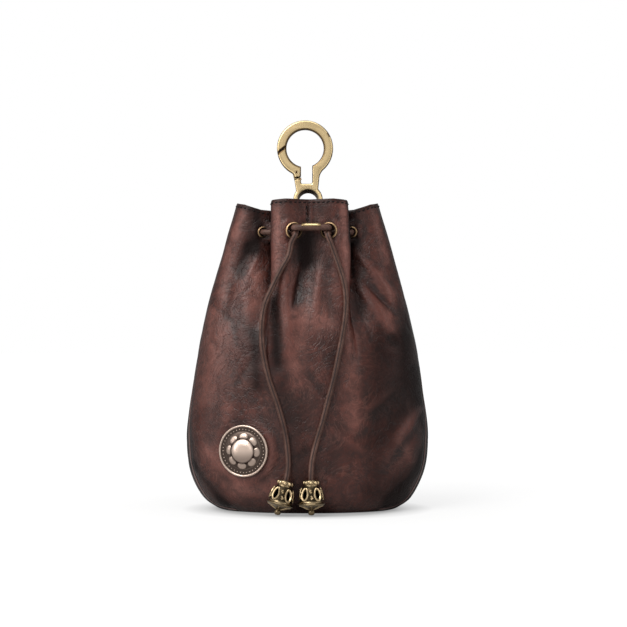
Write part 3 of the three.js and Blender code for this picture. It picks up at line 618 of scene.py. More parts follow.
print("stage: leather panels")
panelForm = {
    "roundedRim": (0.32, 0.1),  # how far the top rows draw in
    "holeIn": 0.12, "holeDeep": 3, "nearLace": 8, "hollowReach": (2, 4), "hollowDepth": 0.16,
    "cut": {"front": (0.141, 0.168), "back": (0.131, 0.167)},
    "cutArea": {"front": 0.0186, "back": 0.018},
}


def hollowShare():  # how far each place lies below what is round it, from -1 to 1
    found = np.zeros(wall.shape[:2])
    for reach in panelForm["hollowReach"]:
        up = wall[np.minimum(np.arange(len(wall)) + reach, len(wall) - 1)]
        down = wall[np.maximum(np.arange(len(wall)) - reach, 0)]
        mean = (up + down + np.roll(wall, reach, 1) + np.roll(wall, -reach, 1)) / 4
        found += np.einsum("rck,rck->rc", mean - wall, normals) / reach
    found[:4] = 0
    found[-5:] = 0
    return np.clip(found / panelForm["hollowDepth"], -1, 1)


hollows = hollowShare()


def punched(middle):  # is a face inside an eyelet's hole
    for eyelet in eyelets.values():
        high, aside = aboutAxis(middle, eyelet["place"], eyelet["out"])
        if abs(high) < panelForm["holeDeep"] and aside < eyelet["bore"] + panelForm["holeIn"]:
            return True
    return False


seamForm = {  # the side seam, as turns from the side crest and levels of the form
    "line": [
        (0, 19), (0, 16), (0, 13), (0, 11), (0.12, 9.6), (0.3, 8.3), (0.42, 7), (0.45, 6),
        (0.5, 5), (0.6, 4), (0.85, 3.2), (1.5, 2.8),
    ],
    "far": 9.0, "shown": 6.0,
}


def seamDistance():  # millimetres inwards from the seam, negative on the strip outside it
    line = lineThrough(seamForm["line"], 30)
    shares = np.arange(wall.shape[0]) / pouchForm["rowsPerLevel"]
    crestAway = np.abs(columns - turnOf("wingCrest", 1))
    crestAway = np.minimum(np.minimum(columns, crestAway), len(turns) - columns)
    front = columns <= turnOf("wingCrest", 1)
    found = np.full(wall.shape[:2], seamForm["far"])
    places = [onWall(turn, level)[0] for turn, level in line]
    places += [onWall(turnOf("wingCrest", 1) - turn, level)[0] for turn, level in line]
    tree = KDTree(len(places))
    for index, place in enumerate(places):
        tree.insert(Vector(place), index)
    tree.balance()
    seamTurn = np.interp(shares, line[::-1, 1], line[::-1, 0])
    for r in range(wall.shape[0]):
        if shares[r] > line[0, 1] + 1:
            break
        for c in np.flatnonzero(front):
            away = tree.find(Vector(wall[r, c]))[2]
            outside = crestAway[c] < seamTurn[r] or shares[r] < line[-1, 1]
            found[r, c] = max(-away, -seamForm["shown"]) if outside else min(away, seamForm["far"])
    return found


paintedShadingForm = {  # painted shade and painted highlight on the front: from x, z to x, z, half width, share
    "dark": [
        (0.5, 123, 0.5, 112, 4.5, 0.95), (-0.5, 112, -4.2, 92, 1.7, 0.7), (21.5, 119, 23, 89, 3, 0.65),
        (-22.5, 135, -22.5, 116, 4.2, 0.95), (-27, 118, -30, 106, 3, 0.75), (-14.6, 93, -13, 67, 3, 0.9),
        (21, 134, 20.5, 121, 2.8, 0.9), (9.5, 134, 9, 110, 3, 0.4), (-23, 78, -22, 56, 3.4, 0.85),
        (37, 76, 38, 34, 7, 0.68), (47, 86, 51, 40, 5, 0.65), (40, 14, 50, 24, 5, 0.6),
        (27, 10, 45, 6, 4.5, 0.6), (-3, 46, -2, 5, 5, 0.4), (-12.5, 60, -8, 42, 3.6, 0.4),
        (-16.3, 137, -16.7, 104, 0.9, 0.85), (18, 137, 20.2, 104, 0.9, 0.85), (10, 79, 10, 68, 3, 0.35),
        (10, 27, 9, 20, 3, 0.3), (-3.2, 119, -3.2, 112, 3, 0.6), (-29.5, 84, -29, 42, 4, 0.35),
        (30, 78, 29, 18, 5, 0.4), (42.5, 92, 44, 44, 4, 0.4), (14, 86, 14.5, 72, 3.4, 0.45),
        (31, 31, 33, 15, 5, 0.2), (49.5, 62, 51.5, 42, 3, 0.5), (-9, 135, 2, 134, 3.5, 0.3),
        (-53.5, 40, -51, 20, 2.4, 0.8), (-51, 20, -36, 3, 2.6, 0.8), (53.5, 40, 51.5, 20, 2.4, 0.8),
        (51.5, 20, 36, 3, 2.8, 0.8),
    ],
    "light": [
        (15.8, 134, 17.4, 103, 1.8, 1.1), (-13, 134, -13.8, 100, 1.8, 0.8), (-29.6, 132, -33, 122, 2, 0.8),
        (-35.5, 117, -38, 96, 2.4, 0.6), (29.8, 134, 35.2, 111, 1.8, 0.55), (-22.5, 105, -23, 90, 3, 0.9),
        (1.5, 102, 3.2, 92, 5, 0.25), (-4, 88, 9, 83, 5, 0.9), (-3, 80, -4, 66, 3.5, 0.6),
        (-42, 88, -45, 50, 3.5, 0.5), (-37.5, 80, -38, 64, 4.5, 0.45), (19, 78, 20, 40, 4.5, 0.55),
        (43, 30, 45, 24, 2.4, 0.55), (50, 45, 40, 33, 2, 0.6), (-43, 26, -32, 11, 5, 0.5),
        (-28, 11, -20, 10, 4, 0.5),
        (33, 106, 38, 95, 2, 0.5), (35.5, 87, 36.5, 81, 2.4, 0.6), (-33, 46, -26, 42, 6, 0.3),
        (-7, 64, -5, 57, 3, 0.3), (-17, 22, -15.5, 14, 2.6, 0.5),
    ],
    # painted shade towards the sides and near the base, and a dark band along the rim
    "rimBand": (-1.5, -0.9), "rimShare": 0.5, "side": (0.05, 0.45), "sideShare": 0.75,
    "base": (2, 11), "baseShare": 0.5, "facing": (-0.2, 0.2),
}


def paintedShadingAt(table, x, z):
    tone = np.zeros_like(x)
    for *ends, half, share in table:
        away = nearLine(x, z, *ends)[1]
        tone += share * np.exp(-((away / half) ** 2))
    return tone


def paintedShadingShare():
    # painted shade and painted highlight from the two lists, more painted shade where the wall turns to the
    # side and near the base, and a dark band along the rim
    x, z = wall[:, :, 0], wall[:, :, 2]
    facing = smoothstep(*paintedShadingForm["facing"], -normals[:, :, 1])
    tone = paintedShadingAt(paintedShadingForm["dark"], x, z) - paintedShadingAt(paintedShadingForm["light"], x, z)
    below = paintedShadingForm["baseShare"] * (1 - smoothstep(*paintedShadingForm["base"], z))
    rim = paintedShadingForm["rimShare"] * smoothstep(*paintedShadingForm["rimBand"], z - z[-1:])
    side = paintedShadingForm["sideShare"] * (1 - smoothstep(*paintedShadingForm["side"], np.abs(normals[:, :, 1])))
    return np.clip(tone * facing * (1 - rim) * (1 - side) + below + rim + side, -1, 1)


seamAway = seamDistance()
paintedShadings = paintedShadingShare()
halves = {"front": columns <= turnOf("wingCrest", 1), "back": columns >= turnOf("wingCrest", 1)}
for word, half in halves.items():
    steps = np.linalg.norm(np.diff(wall[:, half], axis=1), axis=2).sum(axis=1)
    climbs = np.linalg.norm(np.diff(wall[:, half], axis=0), axis=2).sum(axis=0)
    print(f"  {word} panel flat: {steps.max():.0f} wide, {climbs.max():.0f} tall, mouth {steps[-1]:.0f}")


def panelPiece(name, first, last):
    here = [column % len(columns) for column in range(first, last + 1)]
    grid = wall[:, here].copy()
    for back, depth in enumerate(panelForm["roundedRim"]):
        grid[-1 - back] -= depth * normals[-1 - back, here]
    rows, wide = grid.shape[:2]
    nearLace = np.abs(grid[:, :, 2] - eyeletForm["laceHeight"]) < panelForm["nearLace"]
    faces = []
    for r in range(rows - 1):
        for c in range(wide - 1):
            if nearLace[r, c] and punched((grid[r, c] + grid[r + 1, c + 1]) / 2):
                continue
            a = r * wide + c
            faces.append((a, a + 1, a + wide + 1, a + wide))
    obj = meshPiece(name, grid.reshape(-1, 3) * mm, faces)
    for word, values in (("hollow", hollows), ("seam", seamAway), ("tone", paintedShadings)):
        setMark(obj, word, values[:, here])
    editAll(obj)
    bpy.ops.mesh.delete_loose()
    bpy.ops.object.mode_set(mode="OBJECT")
    solidify = obj.modifiers.new("wall", "SOLIDIFY")
    solidify.thickness = pouchForm["wall"] * mm
    solidify.offset = -1
    solidify.material_offset = 1
    solidify.material_offset_rim = 2
    applyModifiers(obj)
    return smoothShade(obj, 50)


crestRight = int(np.searchsorted(columns, turnOf("wingCrest", 1)))
panels = {
    "front": panelPiece("leatherFront", 0, crestRight),
    "back": panelPiece("leatherBack", crestRight, len(columns)),
}
for word, panel in panels.items():
    area = sum(p.area for p in panel.data.polygons) / 2
    print("  panel", word, "area", round(area, 5), "faces", len(panel.data.polygons))


print("stage: stitches")
stitchForm = {
    "long": 1.5, "thick": 0.28, "pitch": 2.15, "belowRim": 2.0, "sunk": 0.02, "slant": 8, "ahead": 0.4,
    "centreTurn": 6.87, "centreFrom": 135.4, "centreTo": 127.6,
}


def stitchShape():  # one stitch, modelled once
    stitch = addShape(bpy.ops.mesh.primitive_ico_sphere_add, subdivisions=2, radius=mm)
    editAll(stitch)
    bpy.ops.transform.resize(
        value=(stitchForm["long"] / 2, stitchForm["thick"], stitchForm["thick"]),
        center_override=(0, 0, 0),
    )
    bpy.ops.object.mode_set(mode="OBJECT")
    places = np.array([v.co for v in stitch.data.vertices])
    faces = [tuple(p.vertices) for p in stitch.data.polygons]
    bpy.data.objects.remove(stitch)
    return places, faces


def rowOfStitches(name, line, ways):  # one stitch each pitch along a line, laid flat by the ways out
    shape, shapeFaces = stitchShape()
    slant = math.radians(stitchForm["slant"])
    along = lengthsAlong(line)
    count = max(2, int(along[-1] / stitchForm["pitch"]))
    places, faces = [], []
    for k in range(count):
        at = (k + 0.5) * along[-1] / count
        place, later, out = (
            np.array([np.interp(where, along, rows[:, j]) for j in range(3)])
            for where, rows in ((at, line), (at + stitchForm["ahead"], line), (at, ways))
        )
        out = unit(out)
        ahead = later - place
        ahead = unit(ahead - out * (ahead @ out))
        run = math.cos(slant) * ahead + math.sin(slant) * np.cross(out, ahead)
        across = np.cross(out, run)
        base = len(places)
        for x, y, z in shape:
            places.append((place + stitchForm["sunk"] * out) * mm + x * run + y * across + z * out)
        faces += [tuple(base + v for v in face) for face in shapeFaces]
    return smoothShade(meshPiece(name, places, faces), 80)


def alongWall(marks):  # places and ways out at turns and levels of the wall
    places, ways = zip(*[onWall(turn, level) for turn, level in marks])
    return np.array(places), np.array(ways)


rimLevel = len(levelTable) - 1 - stitchForm["belowRim"] / (levelTable[-1, 0] - levelTable[-2, 0])
rimMarks = [(turn, rimLevel) for turn in np.arange(0, len(turns) + 0.001, 0.02)]
centreHeights = np.linspace(stitchForm["centreFrom"], stitchForm["centreTo"], 30)
centreLevels = np.interp(centreHeights, levelTable[2:, 0], np.arange(2, len(levelTable)))
centreMarks = [(stitchForm["centreTurn"], level) for level in centreLevels]
rimStitches = rowOfStitches("rimStitches", *alongWall(rimMarks))
centreStitches = rowOfStitches("centreStitches", *alongWall(centreMarks))


print("stage: turned pieces")


def turnedPiece(name, profile, sides):  # a ring, extruded and widened from one row to the next
    tiny = 0.004
    rows = [(max(r, tiny), z) for r, z in profile]
    obj = addShape(
        bpy.ops.mesh.primitive_circle_add, vertices=sides,
        radius=rows[0][0] * mm, location=(0, 0, rows[0][1] * mm),
    )
    editAll(obj)
    for (r0, z0), (r1, z1) in zip(rows, rows[1:]):
        bpy.ops.mesh.extrude_region_move(TRANSFORM_OT_translate={"value": (0, 0, (z1 - z0) * mm)})
        bpy.ops.transform.resize(value=(r1 / r0, r1 / r0, 1), center_override=(0, 0, z1 * mm))
    bpy.ops.object.mode_set(mode="OBJECT")
    obj.name = name
    return cleanNormals(obj, 0.01 * mm)


eyeletShape = {
    "tube": 0.4, "top": 0.82, "under": 0.78, "round": 0.3, "sides": 40,
    # painted shade on the inner edge, a painted highlight on the upper outer half and painted shade on the
    # rest
    "inner": (-0.62, -0.42), "innerShare": 0.9,
    "rubbedWay": (0.85, 0.5), "rubbed": (-0.1, 0.6), "rubbedShare": 0.85,
}


def eyeletPiece(name, eyelet):
    bore, outer, thick = eyelet["bore"], eyelet["outer"], pouchForm["wall"]
    top, under, soft = eyeletShape["top"], eyeletShape["under"], eyeletShape["round"]
    tube = bore + eyeletShape["tube"]
    profile = [
        (bore, -thick - under + soft), (bore + 0.5 * soft, -thick - under),
        (outer - 2 * soft, -thick - under), (outer - soft, -thick - under + soft),
        (outer - soft, -thick - 0.05), (tube, -thick), (tube, 0), (outer, 0.02), (outer + 0.02, 0.25),
        (outer - 0.1, 0.5), (outer - 0.32, 0.7), (outer - 0.6, top), (bore + 0.45, top),
        (bore + 0.2, top - 0.1), (bore + 0.05, top - 0.28), (bore, top - 0.55), (bore, -thick - under + soft),
    ]
    obj = turnedPiece(name, profile, eyeletShape["sides"])
    placeAlong(obj, eyelet["place"] * mm, eyelet["out"])
    return smoothShade(obj, 40)


eyeletPieces = {name: eyeletPiece("ring_" + name, eyelet) for name, eyelet in eyelets.items()}


beadForm = {
    "sides": 40,
    "profile": [  # radius and height, from the ball tip up the outside and down the bore
        (0, -15.3), (0.75, -15.2), (1.25, -14.85), (1.5, -14.2), (1.4, -13.5), (1.08, -13), (1.25, -12.7),
        (2.5, -12.15), (4.1, -11.4), (5.3, -10.9), (5.8, -10.6), (5.95, -10.28), (5.8, -9.97),
        (5.4, -9.72), (5.15, -9.45), (5.05, -8.7), (4.85, -7.4), (4.58, -6), (4.25, -4.7), (3.85, -3.5),
        (3.3, -2.75), (2.95, -2.42), (2.9, -2.2), (2.95, -1.95), (3.02, -1.6), (3.02, -0.75),
        (2.85, -0.3), (2.4, 0), (1.85, 0.02), (1.55, -0.15), (1.55, -2.8), (2.9, -4),
        (3.6, -8.3), (3.4, -8.8), (0, -8.9),
    ],
    "windows": 5, "windowDown": 6.05, "windowOut": 4.7, "windowWide": 1.4, "windowTall": 2.4,
    "windowTurn": 0.25, "windowDeep": 3.2, "waist": 4.8,
    "wire": 0.48, "ringWider": 0.1, "ringTaller": 0.15, "ringOut": 0.12, "ringSteps": 32,
    "scroll": {
        "steps": 25, "curl": 1.1, "size": 0.75, "shrink": 0.55,
        "from": 2.35, "run": 1.9, "out": 0.1, "wire": 0.85,
    },
    "knobs": 8, "knob": 0.95, "knobDown": 1.2, "knobOut": 2.75,
    "bands": [  # dark bands of the body: where each begins and ends below the top, share
        ((-2, -1), (1.9, 2.4), 0.5), ((2.1, 2.6), (9.2, 9.6), 1), ((9.3, 9.7), (10.6, 11.2), 0.75),
        ((10.6, 11.2), (20, 21), 0.78),
    ],
    "ribs": 8, "ribWire": 0.22, "rib": [(1.3, -12.7), (2.6, -12.2), (4.1, -11.45), (5.1, -11.05)],
}


def curveMesh(name, lines, closed, **settings):  # lines in millimetres, given body by the curve's settings
    curve = bpy.data.curves.new(name, "CURVE")
    for key, value in settings.items():
        setattr(curve, key, value)
    for line in lines:
        spline = curve.splines.new("POLY")
        spline.points.add(len(line) - 1)
        for point, place in zip(spline.points, line):
            point.co = (*[mm * x for x in place], 1)
        spline.use_cyclic_u = closed
    obj = bpy.data.objects.new(name, curve)
    bpy.context.scene.collection.objects.link(obj)
    makeActive(obj)
    bpy.ops.object.convert(target="MESH")
    obj = bpy.context.object
    obj.name = name
    return obj


def wireLoop(points, thick):  # a bent wire with closed ends
    return curveMesh(
        "wire", [points], False, dimensions="3D",
        bevel_depth=thick * mm, bevel_resolution=2, use_fill_caps=True,
    )


def onBead(turn, down, out):  # a place on the bead's outside
    radius = alongTable([(-z, r) for r, z in beadForm["profile"][12:24]], down) + out
    return (radius * math.cos(turn), radius * math.sin(turn), -down)


def windowRing(turn):  # a raised wire round a window
    ring = []
    for k in range(beadForm["ringSteps"] + 1):
        around = 2 * math.pi * k / beadForm["ringSteps"]
        aside = (beadForm["windowWide"] + beadForm["ringWider"]) * math.sin(around) / beadForm["waist"]
        down = beadForm["windowDown"] + (beadForm["windowTall"] + beadForm["ringTaller"]) * math.cos(around)
        ring.append(onBead(turn + aside, down, beadForm["ringOut"]))
    return wireLoop(ring, beadForm["wire"])


def scrollWire(turn, flip):  # one curl of the scrolls between two windows
    form = beadForm["scroll"]
    scroll = []
    for k in range(form["steps"] + 1):
        share = k / form["steps"]
        curl = form["curl"] * math.pi * share
        size = form["size"] * (1 - form["shrink"] * share)
        drop = form["from"] - form["run"] * share - size * math.cos(curl) / 2
        scroll.append(onBead(
            turn + flip * size * math.sin(curl) / beadForm["waist"],
            beadForm["windowDown"] + flip * drop, form["out"],
        ))
    return wireLoop(scroll, beadForm["wire"] * form["wire"])


def beadPiece(name, place):
    bead = turnedPiece(name, beadForm["profile"], beadForm["sides"])
    added = []
    for window in range(beadForm["windows"]):
        turn = 2 * math.pi * (window + beadForm["windowTurn"]) / beadForm["windows"]
        cutAway(bead, addShape(
            bpy.ops.mesh.primitive_cylinder_add, vertices=24, radius=mm, depth=beadForm["windowDeep"] * mm,
            location=onCircle(beadForm["windowOut"], turn, -beadForm["windowDown"]),
            rotation=(0, math.pi / 2, turn), scale=(beadForm["windowTall"], beadForm["windowWide"], 1),
        ))
        added.append(windowRing(turn))
        added += [scrollWire(turn + math.pi / beadForm["windows"], flip) for flip in (-1, 1)]
    for knob in range(beadForm["knobs"]):
        turn = 2 * math.pi * knob / beadForm["knobs"]
        added.append(addShape(
            bpy.ops.mesh.primitive_uv_sphere_add, segments=14, ring_count=9, radius=beadForm["knob"] * mm,
            location=onCircle(beadForm["knobOut"], turn, -beadForm["knobDown"]),
        ))
    for rib in range(beadForm["ribs"]):  # thin ribs under the saucer
        turn = 2 * math.pi * rib / beadForm["ribs"]
        line = [(r * math.cos(turn), r * math.sin(turn), z) for r, z in beadForm["rib"]]
        added.append(wireLoop(line, beadForm["ribWire"]))
    joinPieces(bead, added)
    top, tip = (Vector(place[end]) for end in ("top", "tip"))
    placeAlong(bead, top * mm, (top - tip).normalized())
    return smoothShade(bead, 42)


beads = {word: beadPiece("bell_" + word, place) for word, place in beadPlaces.items()}


print("stage: concho")
conchoShape = {
    "sides": 96, "petals": 8, "pips": 40,
    "profile": [  # radius and height above the back
        (0, 0), (11.25, 0), (11.4, 0.2), (11.4, 1.05), (11.3, 1.3), (11.1, 1.46), (10.85, 1.5), (10.6, 1.42),
        (10.45, 1.2), (10.3, 0.92), (8.7, 0.86), (8.35, 0.9), (8.15, 1.05), (7.8, 1.2), (6.9, 1.4),
        (6.1, 1.55), (5.7, 1.6), (5.5, 1.75), (5.3, 2), (4.7, 2.4), (3.7, 2.78), (2.5, 3),
        (1.2, 3.08), (0, 3.1),
    ],
    "petal": (6.5, 1.7, 2.1, 0.5, 1.42),  # radius of its middle, half-length, half-width, height, seat
    "pip": (9.45, 0.32, 0.84), "lean": 16,  # radius of the ring, size, seat
    "marks": {  # dark places by radius or height, and how dark they are
        "ground": ((8, 8.4), (10.3, 10.5)), "groundShare": 0.95, "pips": (0.95, 1.15), "pipShare": 0.6,
        "petals": ((4.9, 5.2), (8, 8.4)), "petalShare": 0.5, "edges": (0.02, 0.3), "edgeShare": 0.45,
        "lip": ((5.2, 5.5), (5.5, 6)), "lipShare": 0.4, "rim": (10.3, 10.5), "rimShare": 0.32,
        # painted shade on the dome's lower half
        "dome": (4.9, 5.3), "domeShare": 0.08, "below": (-4, 2.2), "belowShare": 0.55,
    },
}


def conchoPiece():
    concho = turnedPiece("concho_cast", conchoShape["profile"], conchoShape["sides"])
    added = []
    middle, long, wide, high, seat = conchoShape["petal"]
    for petal in range(conchoShape["petals"]):
        turn = 2 * math.pi * (petal + 0.5) / conchoShape["petals"]
        added.append(addShape(
            bpy.ops.mesh.primitive_uv_sphere_add, segments=24, ring_count=12, radius=mm,
            location=onCircle(middle, turn, seat),
            rotation=(0, math.radians(conchoShape["lean"]), turn), scale=(long, wide, high),
        ))
    ring, size, height = conchoShape["pip"]
    for pip in range(conchoShape["pips"]):
        turn = 2 * math.pi * pip / conchoShape["pips"]
        added.append(addShape(
            bpy.ops.mesh.primitive_uv_sphere_add, segments=10, ring_count=6, radius=size * mm,
            location=onCircle(ring, turn, height),
        ))
    joinPieces(concho, added)
    placeAlong(concho, conchoBack() * mm, conchoOut)
    return smoothShade(concho, 40)


conchoCast = conchoPiece()


print("stage: hook")
hookForm = {
    "y": 12.5, "depth": 3.5, "bevel": 0.8, "gap": 0.3, "noseGap": 0.16,
    "ring": (-1.15, 163), "outer": 12.8, "inner": 8.5,
    "legLeft": -6.05, "legRight": 5.36, "legBend": 149.5, "footLeft": -5.2, "footRight": 4.75, "foot": 143.3,
    "slotLeft": -3, "slotRight": 2.1, "slotBottom": 146.9,
    "eye": (0.2, 139.6), "eyeOuter": 6.7, "eyeInner": 4.9, "eyeBack": 4.3, "eyeSlant": 1.2,
    "eyeEase": 1.0, "eyeEaseDeep": 0.2, "past": 0.5, "easePast": 0.15,
    "pivot": (-5.1, 152.1), "knuckle": 2.75, "gateBottom": 149.35,
    "noseInner": (-8.5, 164.75), "noseOuter": (-14.9, 159.75),
    "fork": 1.8, "forkReach": 1.2, "forkTall": 4, "tongue": 1.2, "tongueRadius": 1.8, "tongueDown": 1.6,
    "tongueIn": 0.2, "tongueBore": 0.15, "gateBore": 0.1, "pin": 0.75, "pinSunk": 0.05, "pinRim": (0.47, 0.55),
    "pinEnd": [(0, 0.12), (0.45, 0.1), (0.5, 0), (0.68, 0), (0.75, 0.12)],  # radius and depth from the end
    "shoulder": 3.2, "slotCorner": 0.9, "gateShoulder": 1.6,
}


def arc(centre, radius, fromTurn, toTurn, steps=48):  # degrees, both ends included
    turns = np.radians(np.linspace(fromTurn, toTurn, steps))
    return [(centre[0] + radius * math.cos(t), centre[1] + radius * math.sin(t)) for t in turns]


def turnTo(centre, place):
    return math.degrees(math.atan2(place[1] - centre[1], place[0] - centre[0])) % 360


def crossing(a, b, centre, radius):  # where the line from a to b leaves a circle
    a, b, centre = np.array(a), np.array(b), np.array(centre)
    way = unit(b - a)
    near = (centre - a) @ way
    aside = np.linalg.norm(a + near * way - centre)
    return tuple(a + (near + math.sqrt(radius ** 2 - aside ** 2)) * way)


def rounded(outline, corners, reach):  # takes the sharpness off named corners of a closed outline
    line = [np.array(p) for p in outline]
    made = []
    keep = {tuple(np.round(c, 3)) for c in corners}
    for k, here in enumerate(line):
        if tuple(np.round(here, 3)) not in keep:
            made.append(here)
            continue
        ends = []
        for step in (-1, 1):
            left, j = reach, k
            while True:
                place, nextPlace = line[j % len(line)], line[(j + step) % len(line)]
                span = np.linalg.norm(nextPlace - place)
                if span >= left:
                    ends.append((place + (nextPlace - place) * left / span, abs(j - k)))
                    break
                left -= span
                j += step
        (start, before), (end, after) = ends
        made = made[: len(made) - before]
        for t in np.linspace(0, 1, 9):
            made.append((1 - t) ** 2 * start + 2 * t * (1 - t) * here + t * t * end)
        line[k + 1 : k + 1 + after] = []
    return [tuple(p) for p in made]


def platePiece(name, loops, depth, bevel):  # a flat outline with holes, given depth and eased edges
    flat = [[(x, y, 0) for x, y in loop] for loop in loops]
    obj = curveMesh(
        name, flat, True, dimensions="2D", fill_mode="BOTH", extrude=(depth / 2 - bevel) * mm,
        bevel_depth=bevel * mm, bevel_resolution=2, offset=-bevel * mm,
    )
    return cleanNormals(obj, 0.004 * mm)


def standUp(obj):  # from the flat drawing to the hook's own plane
    obj.data.transform(Matrix.Translation((0, hookForm["y"] * mm, 0)) @ Matrix.Rotation(math.pi / 2, 4, "X"))
    return obj


def hookFrameOutline():
    f = hookForm
    ring, eye = f["ring"], f["eye"]
    lift = np.array([0, f["noseGap"]])
    cutFrom, cutTo = np.array(f["noseInner"]) + lift, np.array(f["noseOuter"]) + lift
    noseOut = crossing(cutFrom, cutTo, ring, f["outer"])
    noseIn = crossing(cutFrom, cutTo, ring, f["inner"])
    ringRight = -math.degrees(math.acos((f["legRight"] - ring[0]) / f["outer"]))
    slotTop = -math.degrees(math.acos((f["slotRight"] - ring[0]) / f["inner"]))
    footRight = (f["footRight"], f["foot"])
    footLeft = (f["footLeft"], f["foot"])
    eyeRight = crossing(footRight, (f["legRight"], f["legBend"]), eye, f["eyeOuter"])
    eyeLeft = crossing(footLeft, (f["legLeft"], f["legBend"]), eye, f["eyeOuter"])
    seat = f["gateBottom"] - f["gap"]
    reach = f["knuckle"] + f["gap"]
    seatEnd = math.degrees(math.acos((f["slotLeft"] - f["pivot"][0]) / reach))
    slotCorners = [(f["slotLeft"], f["slotBottom"]), (f["slotRight"], f["slotBottom"])]
    outline = arc(ring, f["outer"], turnTo(ring, noseOut), ringRight, 96)
    corner = outline[-1]
    outline += [(f["legRight"], f["legBend"])]
    outline += arc(eye, f["eyeOuter"], turnTo(eye, eyeRight), turnTo(eye, eyeLeft) - 360, 64)
    outline += [(f["legLeft"], min(f["legBend"], seat) - 0.2), (f["legLeft"], seat)]
    outline += arc(f["pivot"], reach, -90, -seatEnd, 10)
    outline += slotCorners
    outline += arc(ring, f["inner"], slotTop, turnTo(ring, noseIn), 80)
    outline = rounded(outline, [corner], f["shoulder"])
    return rounded(outline, slotCorners, f["slotCorner"])


def eyeCutter(back, front, low, high):  # a round cutter that slants down towards the back
    f = hookForm
    cutter = addShape(
        bpy.ops.mesh.primitive_cone_add, vertices=64, radius1=back * mm, radius2=front * mm,
        depth=(high - low) * mm, location=(0, 0, (low + high) / 2 * mm),
    )
    slant = Matrix.Identity(4)
    slant[1][2] = f["eyeSlant"] / f["depth"]
    rise = f["eye"][1] - f["eyeSlant"] / 2
    cutter.data.transform(Matrix.Translation((f["eye"][0] * mm, rise * mm, 0)) @ slant)
    return cutter


def hookFramePiece():
    f = hookForm
    body = platePiece("hookFrame", [hookFrameOutline()], f["depth"], f["bevel"])
    slope = (f["eyeInner"] - f["eyeBack"]) / f["depth"]
    past = f["depth"] / 2 + f["past"]
    middle = (f["eyeInner"] + f["eyeBack"]) / 2
    cutAway(body, eyeCutter(middle - slope * past, middle + slope * past, -past, past))
    ease, deep, more = f["eyeEase"], f["eyeEaseDeep"], f["easePast"]
    lean = ease / deep  # a wide shallow easing round the eye's front edge
    face = f["depth"] / 2
    cutAway(body, eyeCutter(
        f["eyeInner"] - lean * more, f["eyeInner"] + ease + lean * more, face - deep - more, face + more,
    ))
    x, z = f["pivot"]
    r = f["tongueRadius"]
    foot = f["gateBottom"] - f["tongueDown"]
    tongueOutline = arc((x, z), r, -5, 190, 24)
    tongueOutline += [(f["legLeft"] + f["tongueIn"], foot), (x + r - f["tongueIn"], foot)]
    bore = arc((x, z), f["pin"] + f["tongueBore"], 0, 360, 25)[:-1]
    tongue = platePiece("tongue", [tongueOutline, bore], f["tongue"], 0.1)
    return smoothShade(standUp(joinPieces(body, [tongue])), 32)


def gatePiece():
    f = hookForm
    ring = f["ring"]
    noseOut = crossing(f["noseInner"], f["noseOuter"], ring, f["outer"])
    noseIn = crossing(f["noseInner"], f["noseOuter"], ring, f["inner"])
    ringLeft = 360 - math.degrees(math.acos((f["legLeft"] - ring[0]) / f["outer"]))
    slotTop = 360 - math.degrees(math.acos((f["slotLeft"] - ring[0]) / f["inner"]))
    knuckleEnd = math.degrees(math.acos((f["slotLeft"] - f["pivot"][0]) / f["knuckle"]))
    outline = arc(ring, f["outer"], turnTo(ring, noseOut), ringLeft, 40)
    corner = outline[-1]
    outline += [(f["legLeft"], f["gateBottom"])]
    outline += arc(f["pivot"], f["knuckle"], -90, -knuckleEnd, 10)
    outline += arc(ring, f["inner"], slotTop, turnTo(ring, noseIn), 40)
    outline = rounded(outline, [corner], f["gateShoulder"])
    gate = platePiece("hookGate", [outline], f["depth"], f["bevel"])
    x, z = f["pivot"]
    cutAway(gate, addShape(
        bpy.ops.mesh.primitive_cylinder_add, vertices=28, radius=(f["pin"] + f["gateBore"]) * mm,
        depth=(f["depth"] + 2) * mm, location=(x * mm, z * mm, 0),
    ))
    cutAway(gate, addShape(
        bpy.ops.mesh.primitive_cube_add, size=mm, location=(x * mm, (z - f["tongueDown"]) * mm, 0),
        scale=(2 * (f["knuckle"] + f["forkReach"]), 2 * f["tongueRadius"] + f["forkTall"], f["fork"]),
    ))
    return smoothShade(standUp(gate), 32)


hookFrame = hookFramePiece()
hookGate = gatePiece()
pinHalf = hookForm["depth"] / 2 - hookForm["pinSunk"]
pinProfile = [(r, deep - pinHalf) for r, deep in hookForm["pinEnd"]]
pinProfile += [(r, -z) for r, z in pinProfile[::-1]]
gatePin = turnedPiece("gatePin", pinProfile, 24)
pinPlace = np.array([hookForm["pivot"][0], hookForm["y"], hookForm["pivot"][1]])
placeAlong(gatePin, pinPlace * mm, (0, 1, 0))
smoothShade(gatePin, 35)


print("stage: bridge clip and hanger")
clipUp = [90 - sleeveForm["reach"], 90 + sleeveForm["reach"]]
clipOutline = arc((0, 0), sleeveForm["outer"], *clipUp, 24)
clipOutline += arc((0, 0), sleeveForm["inner"], *clipUp[::-1], 24)
bridgeClip = platePiece("bridgeClip", [clipOutline], sleeveForm["length"], 0.1)
clipPlace = Vector((nodeCentre("bridge_sleeve")[0], bridgeLine[3][1], bridgeLine[3][2])) * mm
alongX = Matrix(((0, 0, 1, 0), (1, 0, 0, 0), (0, 1, 0, 0), (0, 0, 0, 1)))
bridgeClip.data.transform(Matrix.Translation(clipPlace) @ alongX)
smoothShade(bridgeClip, 40)

hangerForm = {
    "width": 6, "thick": 1.17, "x": 0.2, "rows": 70, "across": 9, "crown": 0.25, "eased": 0.2,
    "path": [  # y and z of the strip's middle, up the front tail, over the foot of the eye and down
        (15.9, 112.6), (15.8, 118), (15.4, 123.5), (13.2, 128.2), (10.35, 131.6), (9.85, 134.2),
        (10.5, 136.3), (12.5, 136.95), (14.5, 136.3), (15.15, 134.2), (15.35, 131.8), (16.3, 128.6),
        (16.95, 123.5), (17.05, 118), (17.2, 112.6),
    ],
}


